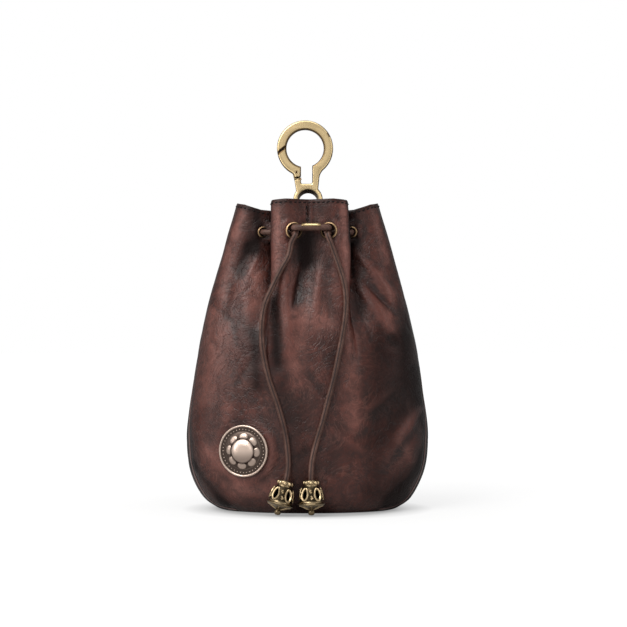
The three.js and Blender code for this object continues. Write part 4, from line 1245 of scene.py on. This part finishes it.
def hangerPiece():
    path = np.array([(0, y, z) for y, z in hangerForm["path"]])
    line = evenly(lineThrough(path, 8), hangerForm["rows"])
    ahead = waysAlong(line)
    out = np.stack([np.zeros(len(line)), -ahead[:, 2], ahead[:, 1]], axis=1)
    places, faces = [], []
    across = hangerForm["across"]
    for k in range(len(line)):
        for s in range(across):
            share = 2 * s / (across - 1) - 1
            bulge = hangerForm["crown"] * (1 - share ** 2)
            aside = np.array([hangerForm["x"] + share * hangerForm["width"] / 2, 0, 0])
            places.append(line[k] + aside + out[k] * bulge)
    for k in range(len(line) - 1):
        for s in range(across - 1):
            a = k * across + s
            faces.append((a, a + across, a + across + 1, a + 1))
    strip = meshPiece("hangerStrip", np.array(places) * mm, faces)
    solidify = strip.modifiers.new("thick", "SOLIDIFY")
    solidify.thickness = hangerForm["thick"] * mm
    solidify.offset = 0
    solidify.material_offset_rim = 2
    bevel = strip.modifiers.new("eased", "BEVEL")
    bevel.width = hangerForm["eased"] * mm
    bevel.segments = 2
    bevel.limit_method = "ANGLE"
    bevel.angle_limit = math.radians(60)
    applyModifiers(strip)
    for word, value in (("hollow", 0), ("seam", seamForm["far"])):
        setMark(strip, word, np.full(len(strip.data.vertices), value))
    return smoothShade(strip, 50)


hangerStrip = hangerPiece()


print("stage: materials")


def addNode(tree, kind, inputs=None, **settings):
    node = tree.nodes.new(kind)
    for key, value in settings.items():
        setattr(node, key, value)
    for key, value in (inputs or {}).items():
        if isinstance(value, bpy.types.NodeSocket):
            tree.links.new(value, node.inputs[key])
        else:
            node.inputs[key].default_value = value
    return node


def srgb(red, green, blue):  # a colour as a picture shows it, for a socket
    def linear(x):
        x /= 255
        return x / 12.92 if x <= 0.04045 else ((x + 0.055) / 1.055) ** 2.4
    return (linear(red), linear(green), linear(blue), 1)


def rampOf(tree, value, *stops):  # colours or grey levels at places along a value
    node = addNode(tree, "ShaderNodeValToRGB", {"Fac": value})
    marks = node.color_ramp.elements
    while len(marks) < len(stops):
        marks.new(0.5)
    for mark, (place, colour) in zip(marks, stops):
        mark.position = place
        mark.color = colour if isinstance(colour, tuple) else (colour, colour, colour, 1)
    return node.outputs["Color"]


def mixed(tree, factor, a, b, blend="MIX"):
    node = addNode(tree, "ShaderNodeMix", data_type="RGBA", blend_type=blend)
    for key, value in (("Factor_Float", factor), ("A_Color", a), ("B_Color", b)):
        socket = next(x for x in node.inputs if x.identifier == key)
        if isinstance(value, bpy.types.NodeSocket):
            tree.links.new(value, socket)
        else:
            socket.default_value = value
    return next(x for x in node.outputs if x.identifier == "Result_Color")


def worked(tree, operation, a, b=0.0, clamp=False):
    return addNode(tree, "ShaderNodeMath", {0: a, 1: b}, operation=operation, use_clamp=clamp).outputs[0]


def scaled(tree, value, share):
    return worked(tree, "MULTIPLY", value, share)


def moved(tree, operation, *values):  # work on places, in the order of the node's sockets
    return addNode(tree, "ShaderNodeVectorMath", dict(enumerate(values)), operation=operation).outputs[0]


def noiseOf(tree, place, scale, detail, roughness=0.5):
    inputs = {"Vector": place, "Scale": scale, "Detail": detail, "Roughness": roughness}
    return addNode(tree, "ShaderNodeTexNoise", inputs).outputs


def cellsOf(tree, place, scale, feature):
    node = addNode(tree, "ShaderNodeTexVoronoi", {"Vector": place, "Scale": scale}, feature=feature)
    return node.outputs["Distance"]


def newGroup(name, inputs, outputs):
    group = bpy.data.node_groups.new(name, "ShaderNodeTree")
    for label, kind, start in inputs:
        socket = group.interface.new_socket(label, in_out="INPUT", socket_type=kind)
        if start is not None:
            socket.default_value = start
    for label, kind in outputs:
        group.interface.new_socket(label, in_out="OUTPUT", socket_type=kind)
    return group, group.nodes.new("NodeGroupInput").outputs, group.nodes.new("NodeGroupOutput").inputs


def patchLines(tree, value, wide, patchPlace, patchScale, patchStops):  # thin lines, shown in patches
    line = rampOf(tree, value, (0.0, 1.0), (wide, 0.0))
    patch = noiseOf(tree, patchPlace, patchScale, 2.0)[0]
    return scaled(tree, line, rampOf(tree, patch, *patchStops))


def fineLines(tree, place, patchPlace, squash, scale, wide):  # bundles of lines drawn out one way
    threads = noiseOf(tree, moved(tree, "MULTIPLY", place, squash), scale, 2.0)[0]
    off = worked(tree, "ABSOLUTE", worked(tree, "SUBTRACT", threads, 0.5))
    return patchLines(tree, off, wide, patchPlace, scale * hideForm["threadPatch"], hideForm["threadShown"])


hideForm = {  # patterns of the hide: noise has scale, detail and roughness
    "clouds": (28.0, 5.0, 0.62), "cloudShare": 0.46, "specks": (210.0, 4.0, 0.7), "speckShare": 0.54,
    "swirl": (60.0, 3.0), "swirlReach": (0.011, 0.011, 0.011),
    "drift": (24.0, 2.0), "driftReach": (0.08, 0.08, 0.08),
    "veinStretch": (1.0, 1.0, 0.55), "veinPatch": 0.35, "veinShown": ((0.42, 0.0), (0.62, 1.0)),
    "veins": ((85.0, 0.09, 1.0), (230.0, 0.11, 0.5)),  # scale, width, share
    "threadPatch": 0.22, "threadShown": ((0.44, 0.0), (0.6, 1.0)),
    "creases": (((1.0, 1.0, 0.3), 260.0, 0.03), ((0.35, 1.0, 1.0), 200.0, 0.025)),  # stretch, scale, width
    "scuffs": (((1.0, 1.0, 0.2), 420.0, 0.045), ((0.25, 1.0, 0.8), 330.0, 0.035)),
    "grain": (1300.0, 3.0, 0.6), "pebbles": 1100.0, "depth": 0.0005,
    "relief": {"grain": 0.25, "pebbles": 0.3, "veins": -0.4, "creases": -0.4, "swirl": 0.35},
}


def hideGroup():  # veins, cloudy dye and grain of a waxed hide
    vector, number = "NodeSocketVector", "NodeSocketFloat"
    tree, given, made = newGroup(
        "waxedHide", [("Place", vector, None), ("Relief", number, 1.0)],
        [("Dye", number), ("Veins", number), ("Creases", number), ("Scuffs", number), ("Normal", vector)],
    )
    form, place = hideForm, given["Place"]
    clouds, specks = (noiseOf(tree, place, *form[word])[0] for word in ("clouds", "specks"))
    cloudy, speckled = scaled(tree, clouds, form["cloudShare"]), scaled(tree, specks, form["speckShare"])
    dye = worked(tree, "ADD", cloudy, speckled)
    swirl, drift = (noiseOf(tree, place, *form[word]) for word in ("swirl", "drift"))
    bent = moved(tree, "MULTIPLY_ADD", swirl["Color"], form["swirlReach"], place)
    swung = moved(tree, "MULTIPLY_ADD", drift["Color"], form["driftReach"], bent)
    drawn = moved(tree, "MULTIPLY", bent, form["veinStretch"])
    layers = []
    for scale, wide, share in form["veins"]:
        cells = cellsOf(tree, drawn, scale, "DISTANCE_TO_EDGE")
        lines = patchLines(tree, cells, wide, place, scale * form["veinPatch"], form["veinShown"])
        layers.append(scaled(tree, lines, share))
    veins = worked(tree, "MAXIMUM", *layers)
    creases = worked(tree, "MAXIMUM", *[
        fineLines(tree, swung, where, *row) for where, row in zip((place, bent), form["creases"])
    ])
    scuffs = worked(tree, "MAXIMUM", *[fineLines(tree, swung, swung, *row) for row in form["scuffs"]])
    layers = {
        "grain": noiseOf(tree, place, *form["grain"])[0],
        "pebbles": cellsOf(tree, bent, form["pebbles"], "SMOOTH_F1"),
        "veins": veins, "creases": creases, "swirl": swirl[0],
    }
    height = 0.0
    for word, layer in layers.items():
        height = worked(tree, "ADD", height, scaled(tree, layer, form["relief"][word]))
    bump = addNode(
        tree, "ShaderNodeBump", {"Height": height, "Strength": given["Relief"], "Distance": form["depth"]},
    )
    outputs = {"Dye": dye, "Veins": veins, "Creases": creases, "Scuffs": scuffs, "Normal": bump.outputs[0]}
    for label, value in outputs.items():
        tree.links.new(value, made[label])
    return tree


patinaForm = {
    "clouds": (240.0, 5.0, 0.65), "stained": ((0.4, 0.0), (0.75, 1.0)), "fine": (1500.0, 2.0), "depth": 0.0001,
    "deepRough": 0.08, "fineRough": 0.12,
}


def patinaAndShadeGroup():  # brass or cast metal: cloudy patina stains, and darker where the hollow mark is high; that mark holds patina and painted shade and reflection
    vector, number, colour = "NodeSocketVector", "NodeSocketFloat", "NodeSocketColor"
    tree, given, made = newGroup(
        "patina",
        [
            ("Place", vector, None), ("Hollow", number, 0.0), ("Bright", colour, None),
            ("Dark", colour, None), ("Age", number, 0.5), ("Polish", number, 0.3), ("Relief", number, 0.3),
        ],
        [("Colour", colour), ("Roughness", number), ("Normal", vector)],
    )
    form = patinaForm
    clouds = noiseOf(tree, given["Place"], *form["clouds"])[0]
    stain = scaled(tree, rampOf(tree, clouds, *form["stained"]), given["Age"])
    deep = worked(tree, "MAXIMUM", given["Hollow"], stain, clamp=True)
    shade = mixed(tree, deep, given["Bright"], given["Dark"])
    tree.links.new(shade, made["Colour"])
    fine = noiseOf(tree, given["Place"], *form["fine"])[0]
    rough = worked(tree, "ADD", given["Polish"], scaled(tree, deep, form["deepRough"]))
    rough = worked(tree, "ADD", rough, scaled(tree, fine, form["fineRough"]), clamp=True)
    tree.links.new(rough, made["Roughness"])
    bump = addNode(
        tree, "ShaderNodeBump", {"Height": fine, "Strength": given["Relief"], "Distance": form["depth"]},
    )
    tree.links.new(bump.outputs[0], made["Normal"])
    return tree


waxedHide = hideGroup()
patina = patinaAndShadeGroup()


def newMaterial(name):
    material = bpy.data.materials.new(name)
    material.use_nodes = True
    tree = material.node_tree
    return material, tree, tree.nodes["Principled BSDF"]


def fill(tree, shader, **values):  # sockets named without their spaces
    for socket in shader.inputs:
        key = socket.name.replace(" ", "")
        key = key[0].lower() + key[1:]
        if key not in values:
            continue
        if isinstance(values[key], bpy.types.NodeSocket):
            tree.links.new(values[key], socket)
        else:
            socket.default_value = values[key]


def placeIn(tree):
    return addNode(tree, "ShaderNodeTexCoord").outputs["Object"]


def markIn(tree, word):
    return addNode(tree, "ShaderNodeAttribute", attribute_name=word).outputs["Fac"]


def hideIn(tree, relief):
    return addNode(
        tree, "ShaderNodeGroup", {"Place": placeIn(tree), "Relief": relief}, node_tree=waxedHide,
    ).outputs


leatherForm = {
    "relief": 0.55,
    "dye": [(0.32, (27, 10, 7)), (0.45, (45, 18, 12)), (0.55, (64, 27, 19)), (0.68, (88, 43, 33))],
    # painted shade: darker towards the sides and towards the base
    "sideTint": (180, 180, 182), "sideReach": 0.05, "side": ((0.45, 0.0), (1.0, 0.6)),
    "lowReach": 0.14, "low": ((0.02, 0.35), (0.3, 0.0)),
    "rubbed": -0.72, "rubbedDye": ((0.4, 0.35), (0.6, 1.0)),
    "stains": {  # share and colour, in the order they are laid on: painted shade in the valleys, lighter on the ridges, a painted highlight on the light places, painted shade on the dark places
        "valley": (0.55, (22, 11, 10)), "ridge": (0.3, (124, 74, 65)), "veins": (0.3, (26, 13, 12)),
        "rubbed": (1.0, (144, 96, 87)), "creases": (0.4, (26, 13, 12)), "scuffs": (0.15, (150, 102, 90)),
        "oiled": (1.0, (19, 9, 8)),
    },
    # a painted highlight along the welt beside the seam
    "welt": ((0.42, 0.0), (0.46, 0.5), (0.54, 0.5), (0.58, 0.0)), "weltColour": (130, 106, 102),
    "strip": (
        (0.0, 0.1), (0.2, 0.6), (0.38, 0.8), (0.44, 0.1), (0.56, 0.1), (0.61, 0.75), (0.7, 0.4), (0.85, 0.0),
    ),
    "stripColour": (16, 9, 9),
    "piping": ((0.3, 0.4), (0.4, 0.1), (0.46, 0.9), (0.5, 1.0), (0.54, 0.9), (0.6, 0.1), (0.7, 0.4)),
    "pipingDepth": 0.0009, "pipingStrength": 0.8,
    "rough": (0.22, 0.29), "shine": (0.35, 0.33), "turnedDull": 0.9, "oiledDull": 0.8, "plainShine": 0.25,
}


def leatherMaterial():
    material, tree, shader = newMaterial("oiled brown leather")
    form = leatherForm
    hide = hideIn(tree, form["relief"])
    hollow, tone, seam = (markIn(tree, word) for word in ("hollow", "tone", "seam"))
    body = rampOf(tree, hide["Dye"], *[(stop, srgb(*colour)) for stop, colour in form["dye"]])
    split = addNode(tree, "ShaderNodeSeparateXYZ", {"Vector": placeIn(tree)}).outputs
    # painted shade: darker towards the sides and towards the base
    aside = scaled(tree, worked(tree, "ABSOLUTE", split["X"]), 1 / form["sideReach"])
    low = rampOf(tree, scaled(tree, split["Z"], 1 / form["lowReach"]), *form["low"])
    shadedBody = mixed(tree, 1.0, body, srgb(*form["sideTint"]), "MULTIPLY")
    body = mixed(tree, worked(tree, "MAXIMUM", rampOf(tree, aside, *form["side"]), low), body, shadedBody)
    # painted highlight on the light places, painted shade on the dark places
    rubbed = worked(tree, "MAXIMUM", scaled(tree, tone, form["rubbed"]), 0.0)
    oiled = worked(tree, "MAXIMUM", tone, 0.0)
    shares = {
        "valley": worked(tree, "MAXIMUM", hollow, 0.0),
        "ridge": worked(tree, "MAXIMUM", scaled(tree, hollow, -1.0), 0.0),
        "veins": hide["Veins"], "rubbed": scaled(tree, rubbed, rampOf(tree, hide["Dye"], *form["rubbedDye"])),
        "creases": hide["Creases"], "scuffs": hide["Scuffs"], "oiled": oiled,
    }
    for word, (share, colour) in form["stains"].items():
        body = mixed(tree, scaled(tree, shares[word], share), body, srgb(*colour))
    across = addNode(
        tree, "ShaderNodeMapRange",
        {"Value": seam, "From Min": -seamForm["shown"], "From Max": seamForm["shown"]}, clamp=True,
    ).outputs["Result"]
    strip = rampOf(tree, across, *form["strip"])
    # painted highlight along the welt
    body = mixed(tree, rampOf(tree, across, *form["welt"]), body, srgb(*form["weltColour"]))
    body = mixed(tree, strip, body, srgb(*form["stripColour"]))
    more, least = form["rough"]
    rough = worked(tree, "ADD", scaled(tree, hide["Dye"], more), least)
    turned = addNode(tree, "ShaderNodeLayerWeight", {"Blend": 0.5}).outputs["Facing"]
    dull = worked(tree, "MAXIMUM", strip, scaled(tree, turned, form["turnedDull"]))
    dull = worked(tree, "MAXIMUM", dull, scaled(tree, oiled, form["oiledDull"]))
    most, lost = form["shine"]
    shine = worked(tree, "SUBTRACT", most, scaled(tree, dull, lost))
    edge = addNode(tree, "ShaderNodeBump", {
        "Height": rampOf(tree, across, *form["piping"]), "Strength": form["pipingStrength"],
        "Distance": form["pipingDepth"], "Normal": hide["Normal"],
    })
    fill(tree, shader, specularIORLevel=form["plainShine"])  # for exports that drop a linked level
    fill(tree, shader, baseColor=body, roughness=rough, normal=edge.outputs[0], specularIORLevel=shine)
    return material


def plainMaterial(name, colour, roughness, specks=0.0, **more):
    material, tree, shader = newMaterial(name)
    shade = colour
    if specks:
        dark = tuple(x * (1 - specks) for x in colour[:3]) + (1,)
        shade = rampOf(tree, noiseOf(tree, placeIn(tree), 700.0, 3.0)[0], (0.35, dark), (0.65, colour))
    fill(tree, shader, baseColor=shade, roughness=roughness, **more)
    return material


def laceMaterial():
    material, tree, shader = newMaterial("round leather lace")
    hide = hideIn(tree, 0.3)
    body = rampOf(
        tree, hide["Dye"], (0.32, srgb(50, 32, 27)), (0.5, srgb(82, 58, 50)), (0.68, srgb(114, 85, 76)),
    )
    around = addNode(tree, "ShaderNodeUVMap", uv_map="lace").outputs["UV"]
    split = addNode(tree, "ShaderNodeSeparateXYZ", {"Vector": around}).outputs
    groove = worked(tree, "ABSOLUTE", worked(tree, "SUBTRACT", split["X"], 0.25))  # a quarter turn round
    # painted shade: the lace's groove drawn dark
    body = mixed(tree, rampOf(tree, groove, (0.02, 0.85), (0.06, 0.0)), body, srgb(26, 16, 15))
    fill(tree, shader, baseColor=body, roughness=0.5, normal=hide["Normal"], specularIORLevel=0.25)
    return material


def metalMaterial(name, bright, dark, age, polish, relief):
    material, tree, shader = newMaterial(name)
    patinaAndShadeOutputs = addNode(tree, "ShaderNodeGroup", {
        "Place": placeIn(tree), "Hollow": markIn(tree, "hollow"),
        "Bright": srgb(*bright), "Dark": srgb(*dark), "Age": age, "Polish": polish, "Relief": relief,
    }, node_tree=patina).outputs
    fill(
        tree, shader, baseColor=patinaAndShadeOutputs["Colour"], metallic=1.0,
        roughness=patinaAndShadeOutputs["Roughness"], normal=patinaAndShadeOutputs["Normal"],
    )
    return material


leather = leatherMaterial()
suede = plainMaterial("suede inside", srgb(56, 38, 33), 0.9, 0.35)
edgePaint = plainMaterial("painted edge", srgb(17, 9, 8), 0.7, 0.3, specularIORLevel=0.2)
laceLeather = laceMaterial()
thread = plainMaterial("waxed thread", srgb(13, 8, 8), 0.7, 0.25, specularIORLevel=0.15)
hookBrass = metalMaterial("satin brass", (255, 228, 174), (56, 33, 12), 0.06, 0.2, 0.02)
eyeletBrass = metalMaterial("eyelet brass", (184, 152, 116), (34, 22, 14), 0.5, 0.28, 0.05)
beadBrass = metalMaterial("antique bead brass", (190, 168, 132), (12, 7, 4), 0.45, 0.18, 0.05)
conchoMetal = metalMaterial("antique cast metal", (224, 202, 187), (48, 38, 34), 0.3, 0.25, 0.06)


def band(value, rise, fall):  # 1 between two soft ends
    return smoothstep(*rise, value) * (1 - smoothstep(*fall, value))


def markDeep(obj, place, axis, share):  # dark places by height along an axis and distance from it
    places = placesOf(obj)
    high, out = aboutAxis(places, place, axis)
    setMark(obj, "hollow", share(out, high, places[:, 2] - place[2]))


hookShadeForm = {  # painted shade and painted reflection on the hook's brass, with dark joints and spots: where each mark fades in, and how dark it is
    "wall": (0.72, 0.85), "wallShare": 0.95, "upperWay": (-0.6, 0.8), "upper": (0.1, 0.5), "upperShare": 0.5,
    "face": (0.972, 0.995), "faceShare": 0.5,
    "lower": (0.2, 0.6), "lowerHeight": (145.5, 147), "lowerShare": 0.35,
    "noseWide": 0.75, "noseLong": (-2.5, 9), "footTall": 0.8, "footIn": 0.4,
    "jointTurned": 0.97, "jointShare": 0.95,
    "inner": (0.1, 0.3), "innerWide": 0.9, "innerShare": 0.95,
    "slot": (0.15, 0.4), "slotHalf": 4.2, "slotDown": 0.2, "slotShare": 0.9,
    "litWay": (-0.24, -0.9, 0.36), "lit": (0.9, 0.985), "litShare": 0.42,
    "spots": [(9.6, 169.2, 1.1), (5.1, 148.2, 0.8)], "spotTurned": 0.99, "spotShare": 0.9,  # x, z, radius
}


def markWalls(obj):  # painted shade and reflection on the brass: faces toned down, eased edges bright, side, inner and slot walls dark; dark joints and spots
    form = hookShadeForm
    ways = np.array([p.normal for p in obj.data.polygons])
    middles = np.array([p.center for p in obj.data.polygons])[:, [0, 2]] / mm
    x, z = middles.T
    turned = np.abs(ways[:, 1])
    upper = ways[:, [0, 2]] @ np.array(form["upperWay"])
    wallDark = form["wallShare"] * (1 - smoothstep(*form["wall"], turned))
    wallDark *= 1 - form["upperShare"] * smoothstep(*form["upper"], upper)
    face = form["faceShare"] * smoothstep(*form["face"], turned)
    lower = form["lowerShare"] * smoothstep(*form["lower"], -upper) * smoothstep(*form["lowerHeight"], z)
    first, last = (np.array(hookForm[end]) for end in ("noseInner", "noseOuter"))
    way = unit(last - first)
    along, aside = (middles - first) @ way, np.abs((middles - first) @ np.array([way[1], -way[0]]))
    near, far = form["noseLong"]
    joint = (aside < form["noseWide"]) & (along > near) & (along < far)
    foot = np.abs(z - hookForm["gateBottom"]) < form["footTall"]
    joint |= foot & (x < hookForm["slotLeft"] + form["footIn"])
    joint &= turned < form["jointTurned"]
    across = middles - np.array(hookForm["ring"])
    ringAway = np.linalg.norm(across, axis=1)
    inward = -(across * ways[:, [0, 2]]).sum(axis=1) / np.maximum(ringAway, 1)
    inside = form["innerShare"] * smoothstep(*form["inner"], inward)
    inside *= ringAway < hookForm["inner"] + form["innerWide"]
    slot = (across[:, 1] < 0) & (np.abs(x) < form["slotHalf"])
    slot &= z > hookForm["slotBottom"] - form["slotDown"]
    inside = np.maximum(inside, form["slotShare"] * smoothstep(*form["slot"], np.abs(ways[:, 0])) * slot)
    lit = form["litShare"] * smoothstep(*form["lit"], ways @ np.array(form["litWay"]))
    spots = np.any([np.hypot(x - sx, z - sz) < reach for sx, sz, reach in form["spots"]], axis=0)
    spots &= turned < form["spotTurned"]
    setMark(obj, "hollow", np.maximum.reduce([
        wallDark, lower, face, form["jointShare"] * joint, lit * (face == 0), inside * (face == 0),
        form["spotShare"] * spots,
    ]), "FACE")


def markRing(obj, eyelet):  # painted light on an eyelet: a painted highlight on its upper outer half, away from the lace, and painted shade on its inner edge and the rest
    places = placesOf(obj)
    high, out = aboutAxis(places, eyelet["place"], eyelet["out"])
    flat = places - eyelet["place"] - high[:, None] * eyelet["out"]
    aside, up = eyeletShape["rubbedWay"]
    turn = (aside * np.sign(eyelet["place"][0]) * flat[:, 0] + up * flat[:, 2]) / np.maximum(out, 0.1)
    inner = 1 - smoothstep(*eyeletShape["inner"], out - eyelet["outer"])
    unlit = 1 - smoothstep(*eyeletShape["rubbed"], turn)
    dark = np.maximum(eyeletShape["innerShare"] * inner, eyeletShape["rubbedShare"] * unlit)
    # painted shade: the eyelets other than the front pair are darker all over
    setMark(obj, "hollow", np.maximum(dark, eyelet["dull"]))


def pinHollow(out, high, lift):  # the pin's sunk middle, painted dark as shade
    return 1 - smoothstep(*hookForm["pinRim"], out)


def markClip(obj):  # painted highlight and shade: the clip is dark at its ends and underneath, so it shines only along the middle of its top edge
    editAll(obj)
    for aside in sleeveForm["cuts"]:
        bpy.ops.mesh.select_all(action="SELECT")
        bpy.ops.mesh.bisect(plane_co=clipPlace + Vector((aside * mm, 0, 0)), plane_no=(1, 0, 0))
    bpy.ops.object.mode_set(mode="OBJECT")
    away = placesOf(obj) - np.array(clipPlace) / mm
    ends = sleeveForm["endShare"] * smoothstep(*sleeveForm["ends"], np.abs(away[:, 0]))
    under = sleeveForm["underShare"] * (1 - smoothstep(*sleeveForm["under"], away[:, 2]))
    setMark(obj, "hollow", np.maximum(ends, under))


def beadHollow(out, high, lift):  # the bead's body under its wires is painted dark: antique patina and painted shade
    skin = alongTable([(-z, r) for r, z in beadForm["profile"][:28]], -high)
    under = 1 - smoothstep(-0.05, 0.3, out - skin)
    dark = sum(share * band(-high, rise, fall) for rise, fall, share in beadForm["bands"])
    return np.clip(under * dark, 0, 1)


def conchoHollow(out, high, lift):  # sunk ground, petals and their edges darker as antique patina; painted shade on the lower half of the dome, as if lit from above; the rim a little darker
    form = conchoShape["marks"]
    skin = alongTable(conchoShape["profile"][10:], out)
    pips, edges = smoothstep(*form["pips"], high), 1 - smoothstep(*form["edges"], high - skin)
    sunk = form["groundShare"] * band(out, *form["ground"]) * (1 - form["pipShare"] * pips)
    petal = band(out, *form["petals"]) * (form["petalShare"] + form["edgeShare"] * edges)
    lip = form["lipShare"] * band(out, *form["lip"])
    below = 1 - smoothstep(*form["below"], lift)
    dome = (1 - smoothstep(*form["dome"], out)) * (form["domeShare"] + form["belowShare"] * below)
    rim = form["rimShare"] * smoothstep(*form["rim"], out)
    return np.clip(sunk + petal + lip + dome + rim, 0, 1)


print("stage: dressing")
for word, node in (("front", "front_panel"), ("back", "back_panel")):
    dress(panels[word], f"leather_{word}", [leather, suede, edgePaint], nodes=[node])
for row, name in ((rimStitches, "stitches_rim"), (centreStitches, "stitches_centre")):
    dress(row, name, [thread])
for name, ring in eyeletPieces.items():
    markRing(ring, eyelets[name])
    dress(ring, f"brass_{name}", [eyeletBrass], nodes=[name])
for word in ("left", "right"):
    dress(laces[word], f"lace_{word}", [laceLeather], nodes=[f"cord_end_{word}"])
    top, tip = (np.array(beadPlaces[word][end]) for end in ("top", "tip"))
    markDeep(beads[word], top, unit(top - tip), beadHollow)
    dress(beads[word], f"brass_bead_{word}", [beadBrass], nodes=[f"bead_{word}"])
dress(laces["bridge"], "lace_bridge", [laceLeather], nodes=["cord_bridge"])
dress(laces["held"], "lace_held", [laceLeather], nodes=["drawstring"])
markClip(bridgeClip)
dress(bridgeClip, "brass_clip", [hookBrass], nodes=["bridge_sleeve"])
markDeep(conchoCast, conchoBack(), conchoOut, conchoHollow)
dress(conchoCast, "concho_cast", [conchoMetal], nodes=["concho"])
for piece in (hookFrame, hookGate):
    markWalls(piece)
dress(hookFrame, "brass_hook_frame", [hookBrass], nodes=["hook_frame"])
dress(hookGate, "brass_hook_gate", [hookBrass], body="gate", nodes=["hook_gate"])
markDeep(gatePin, pinPlace, np.array([0, 1, 0]), pinHollow)
dress(gatePin, "brass_gate_pin", [hookBrass], nodes=["gate_pin"])
dress(hangerStrip, "leather_hanger", [leather, suede, edgePaint], nodes=["hanger_loop"])


print("stage: floor and light")
lightForm = {
    # foot: the footprint of the painted shadow round the base
    "floorSize": 6, "floorGrey": 0.85, "floorSeen": 0.17, "foot": (0.042, 0.034), "glowReach": 15,
    "glow": [(0.06, 0.3), (0.072, 0.6), (0.09, 0.81), (0.2, 0.87), (1.0, 1.0)],  # share of reach, strength; dimmer close to the base as a painted shadow
    "sky": 0.07, "glossySky": 0.6,
    "lamps": [  # name, place, size, strength in watts, colour
        ("key", (-0.7, -1.0, 1.05), (0.8, 0.8), 17, (1, 0.985, 0.96)),
        ("left strip", (-1.05, -0.5, 0.4), (0.28, 1.1), 4, (1, 0.97, 0.95)),
        ("right strip", (1.05, -0.5, 0.4), (0.25, 1.1), 2.4, (1, 0.97, 0.96)),
        ("top", (0, -0.35, 1.15), (0.9, 0.6), 5, (1, 1, 1)),
        ("front", (0, -1.7, 0.4), (0.8, 0.6), 1.3, (1, 1, 1)),
    ],
    "aim": (0, 0, 0.07),
}
floor = addShape(bpy.ops.mesh.primitive_plane_add, size=lightForm["floorSize"])
floor.name = "floor"


def floorMaterial():  # lit from below to the camera like a light table, with a painted shadow close to the base
    material, tree, shader = newMaterial("white floor")
    wide, deep = lightForm["foot"]
    feet = moved(tree, "MULTIPLY", placeIn(tree), (1 / wide, 1 / deep, 0))
    away = addNode(tree, "ShaderNodeVectorMath", {0: feet}, operation="LENGTH").outputs["Value"]
    glow = rampOf(tree, worked(tree, "DIVIDE", away, lightForm["glowReach"]), *lightForm["glow"])
    seen = addNode(tree, "ShaderNodeLightPath").outputs["Is Camera Ray"]
    greys = [(grey, grey, grey, 1) for grey in (lightForm["floorGrey"], lightForm["floorSeen"])]
    fill(
        tree, shader, baseColor=mixed(tree, seen, *greys), roughness=0.9, specularIORLevel=0.1,
        emissionColor=(1, 1, 1, 1), emissionStrength=scaled(tree, glow, seen),
    )
    return material


floor.data.materials.append(floorMaterial())
for name, place, size, watts, colour in lightForm["lamps"]:
    lamp = bpy.data.lights.new(name, "AREA")
    lamp.shape = "RECTANGLE"
    lamp.size, lamp.size_y = size
    lamp.energy = watts
    lamp.color = colour
    holder = bpy.data.objects.new(name, lamp)
    holder.location = place
    holder.rotation_euler = (Vector(lightForm["aim"]) - Vector(place)).to_track_quat("-Z", "Y").to_euler()
    bpy.context.scene.collection.objects.link(holder)

world = bpy.data.worlds.new("studio")
bpy.context.scene.world = world
world.use_nodes = True
tree = world.node_tree
ray = addNode(tree, "ShaderNodeLightPath")
level = addNode(
    tree, "ShaderNodeMix",
    {0: ray.outputs["Is Glossy Ray"], 2: lightForm["sky"], 3: lightForm["glossySky"]}, data_type="FLOAT",
)
seen = worked(tree, "MAXIMUM", level.outputs[0], ray.outputs["Is Camera Ray"])
tree.links.new(seen, tree.nodes["Background"].inputs["Strength"])
tree.nodes["Background"].inputs["Color"].default_value = (1, 1, 1, 1)
bpy.context.scene.view_settings.view_transform = "Standard"
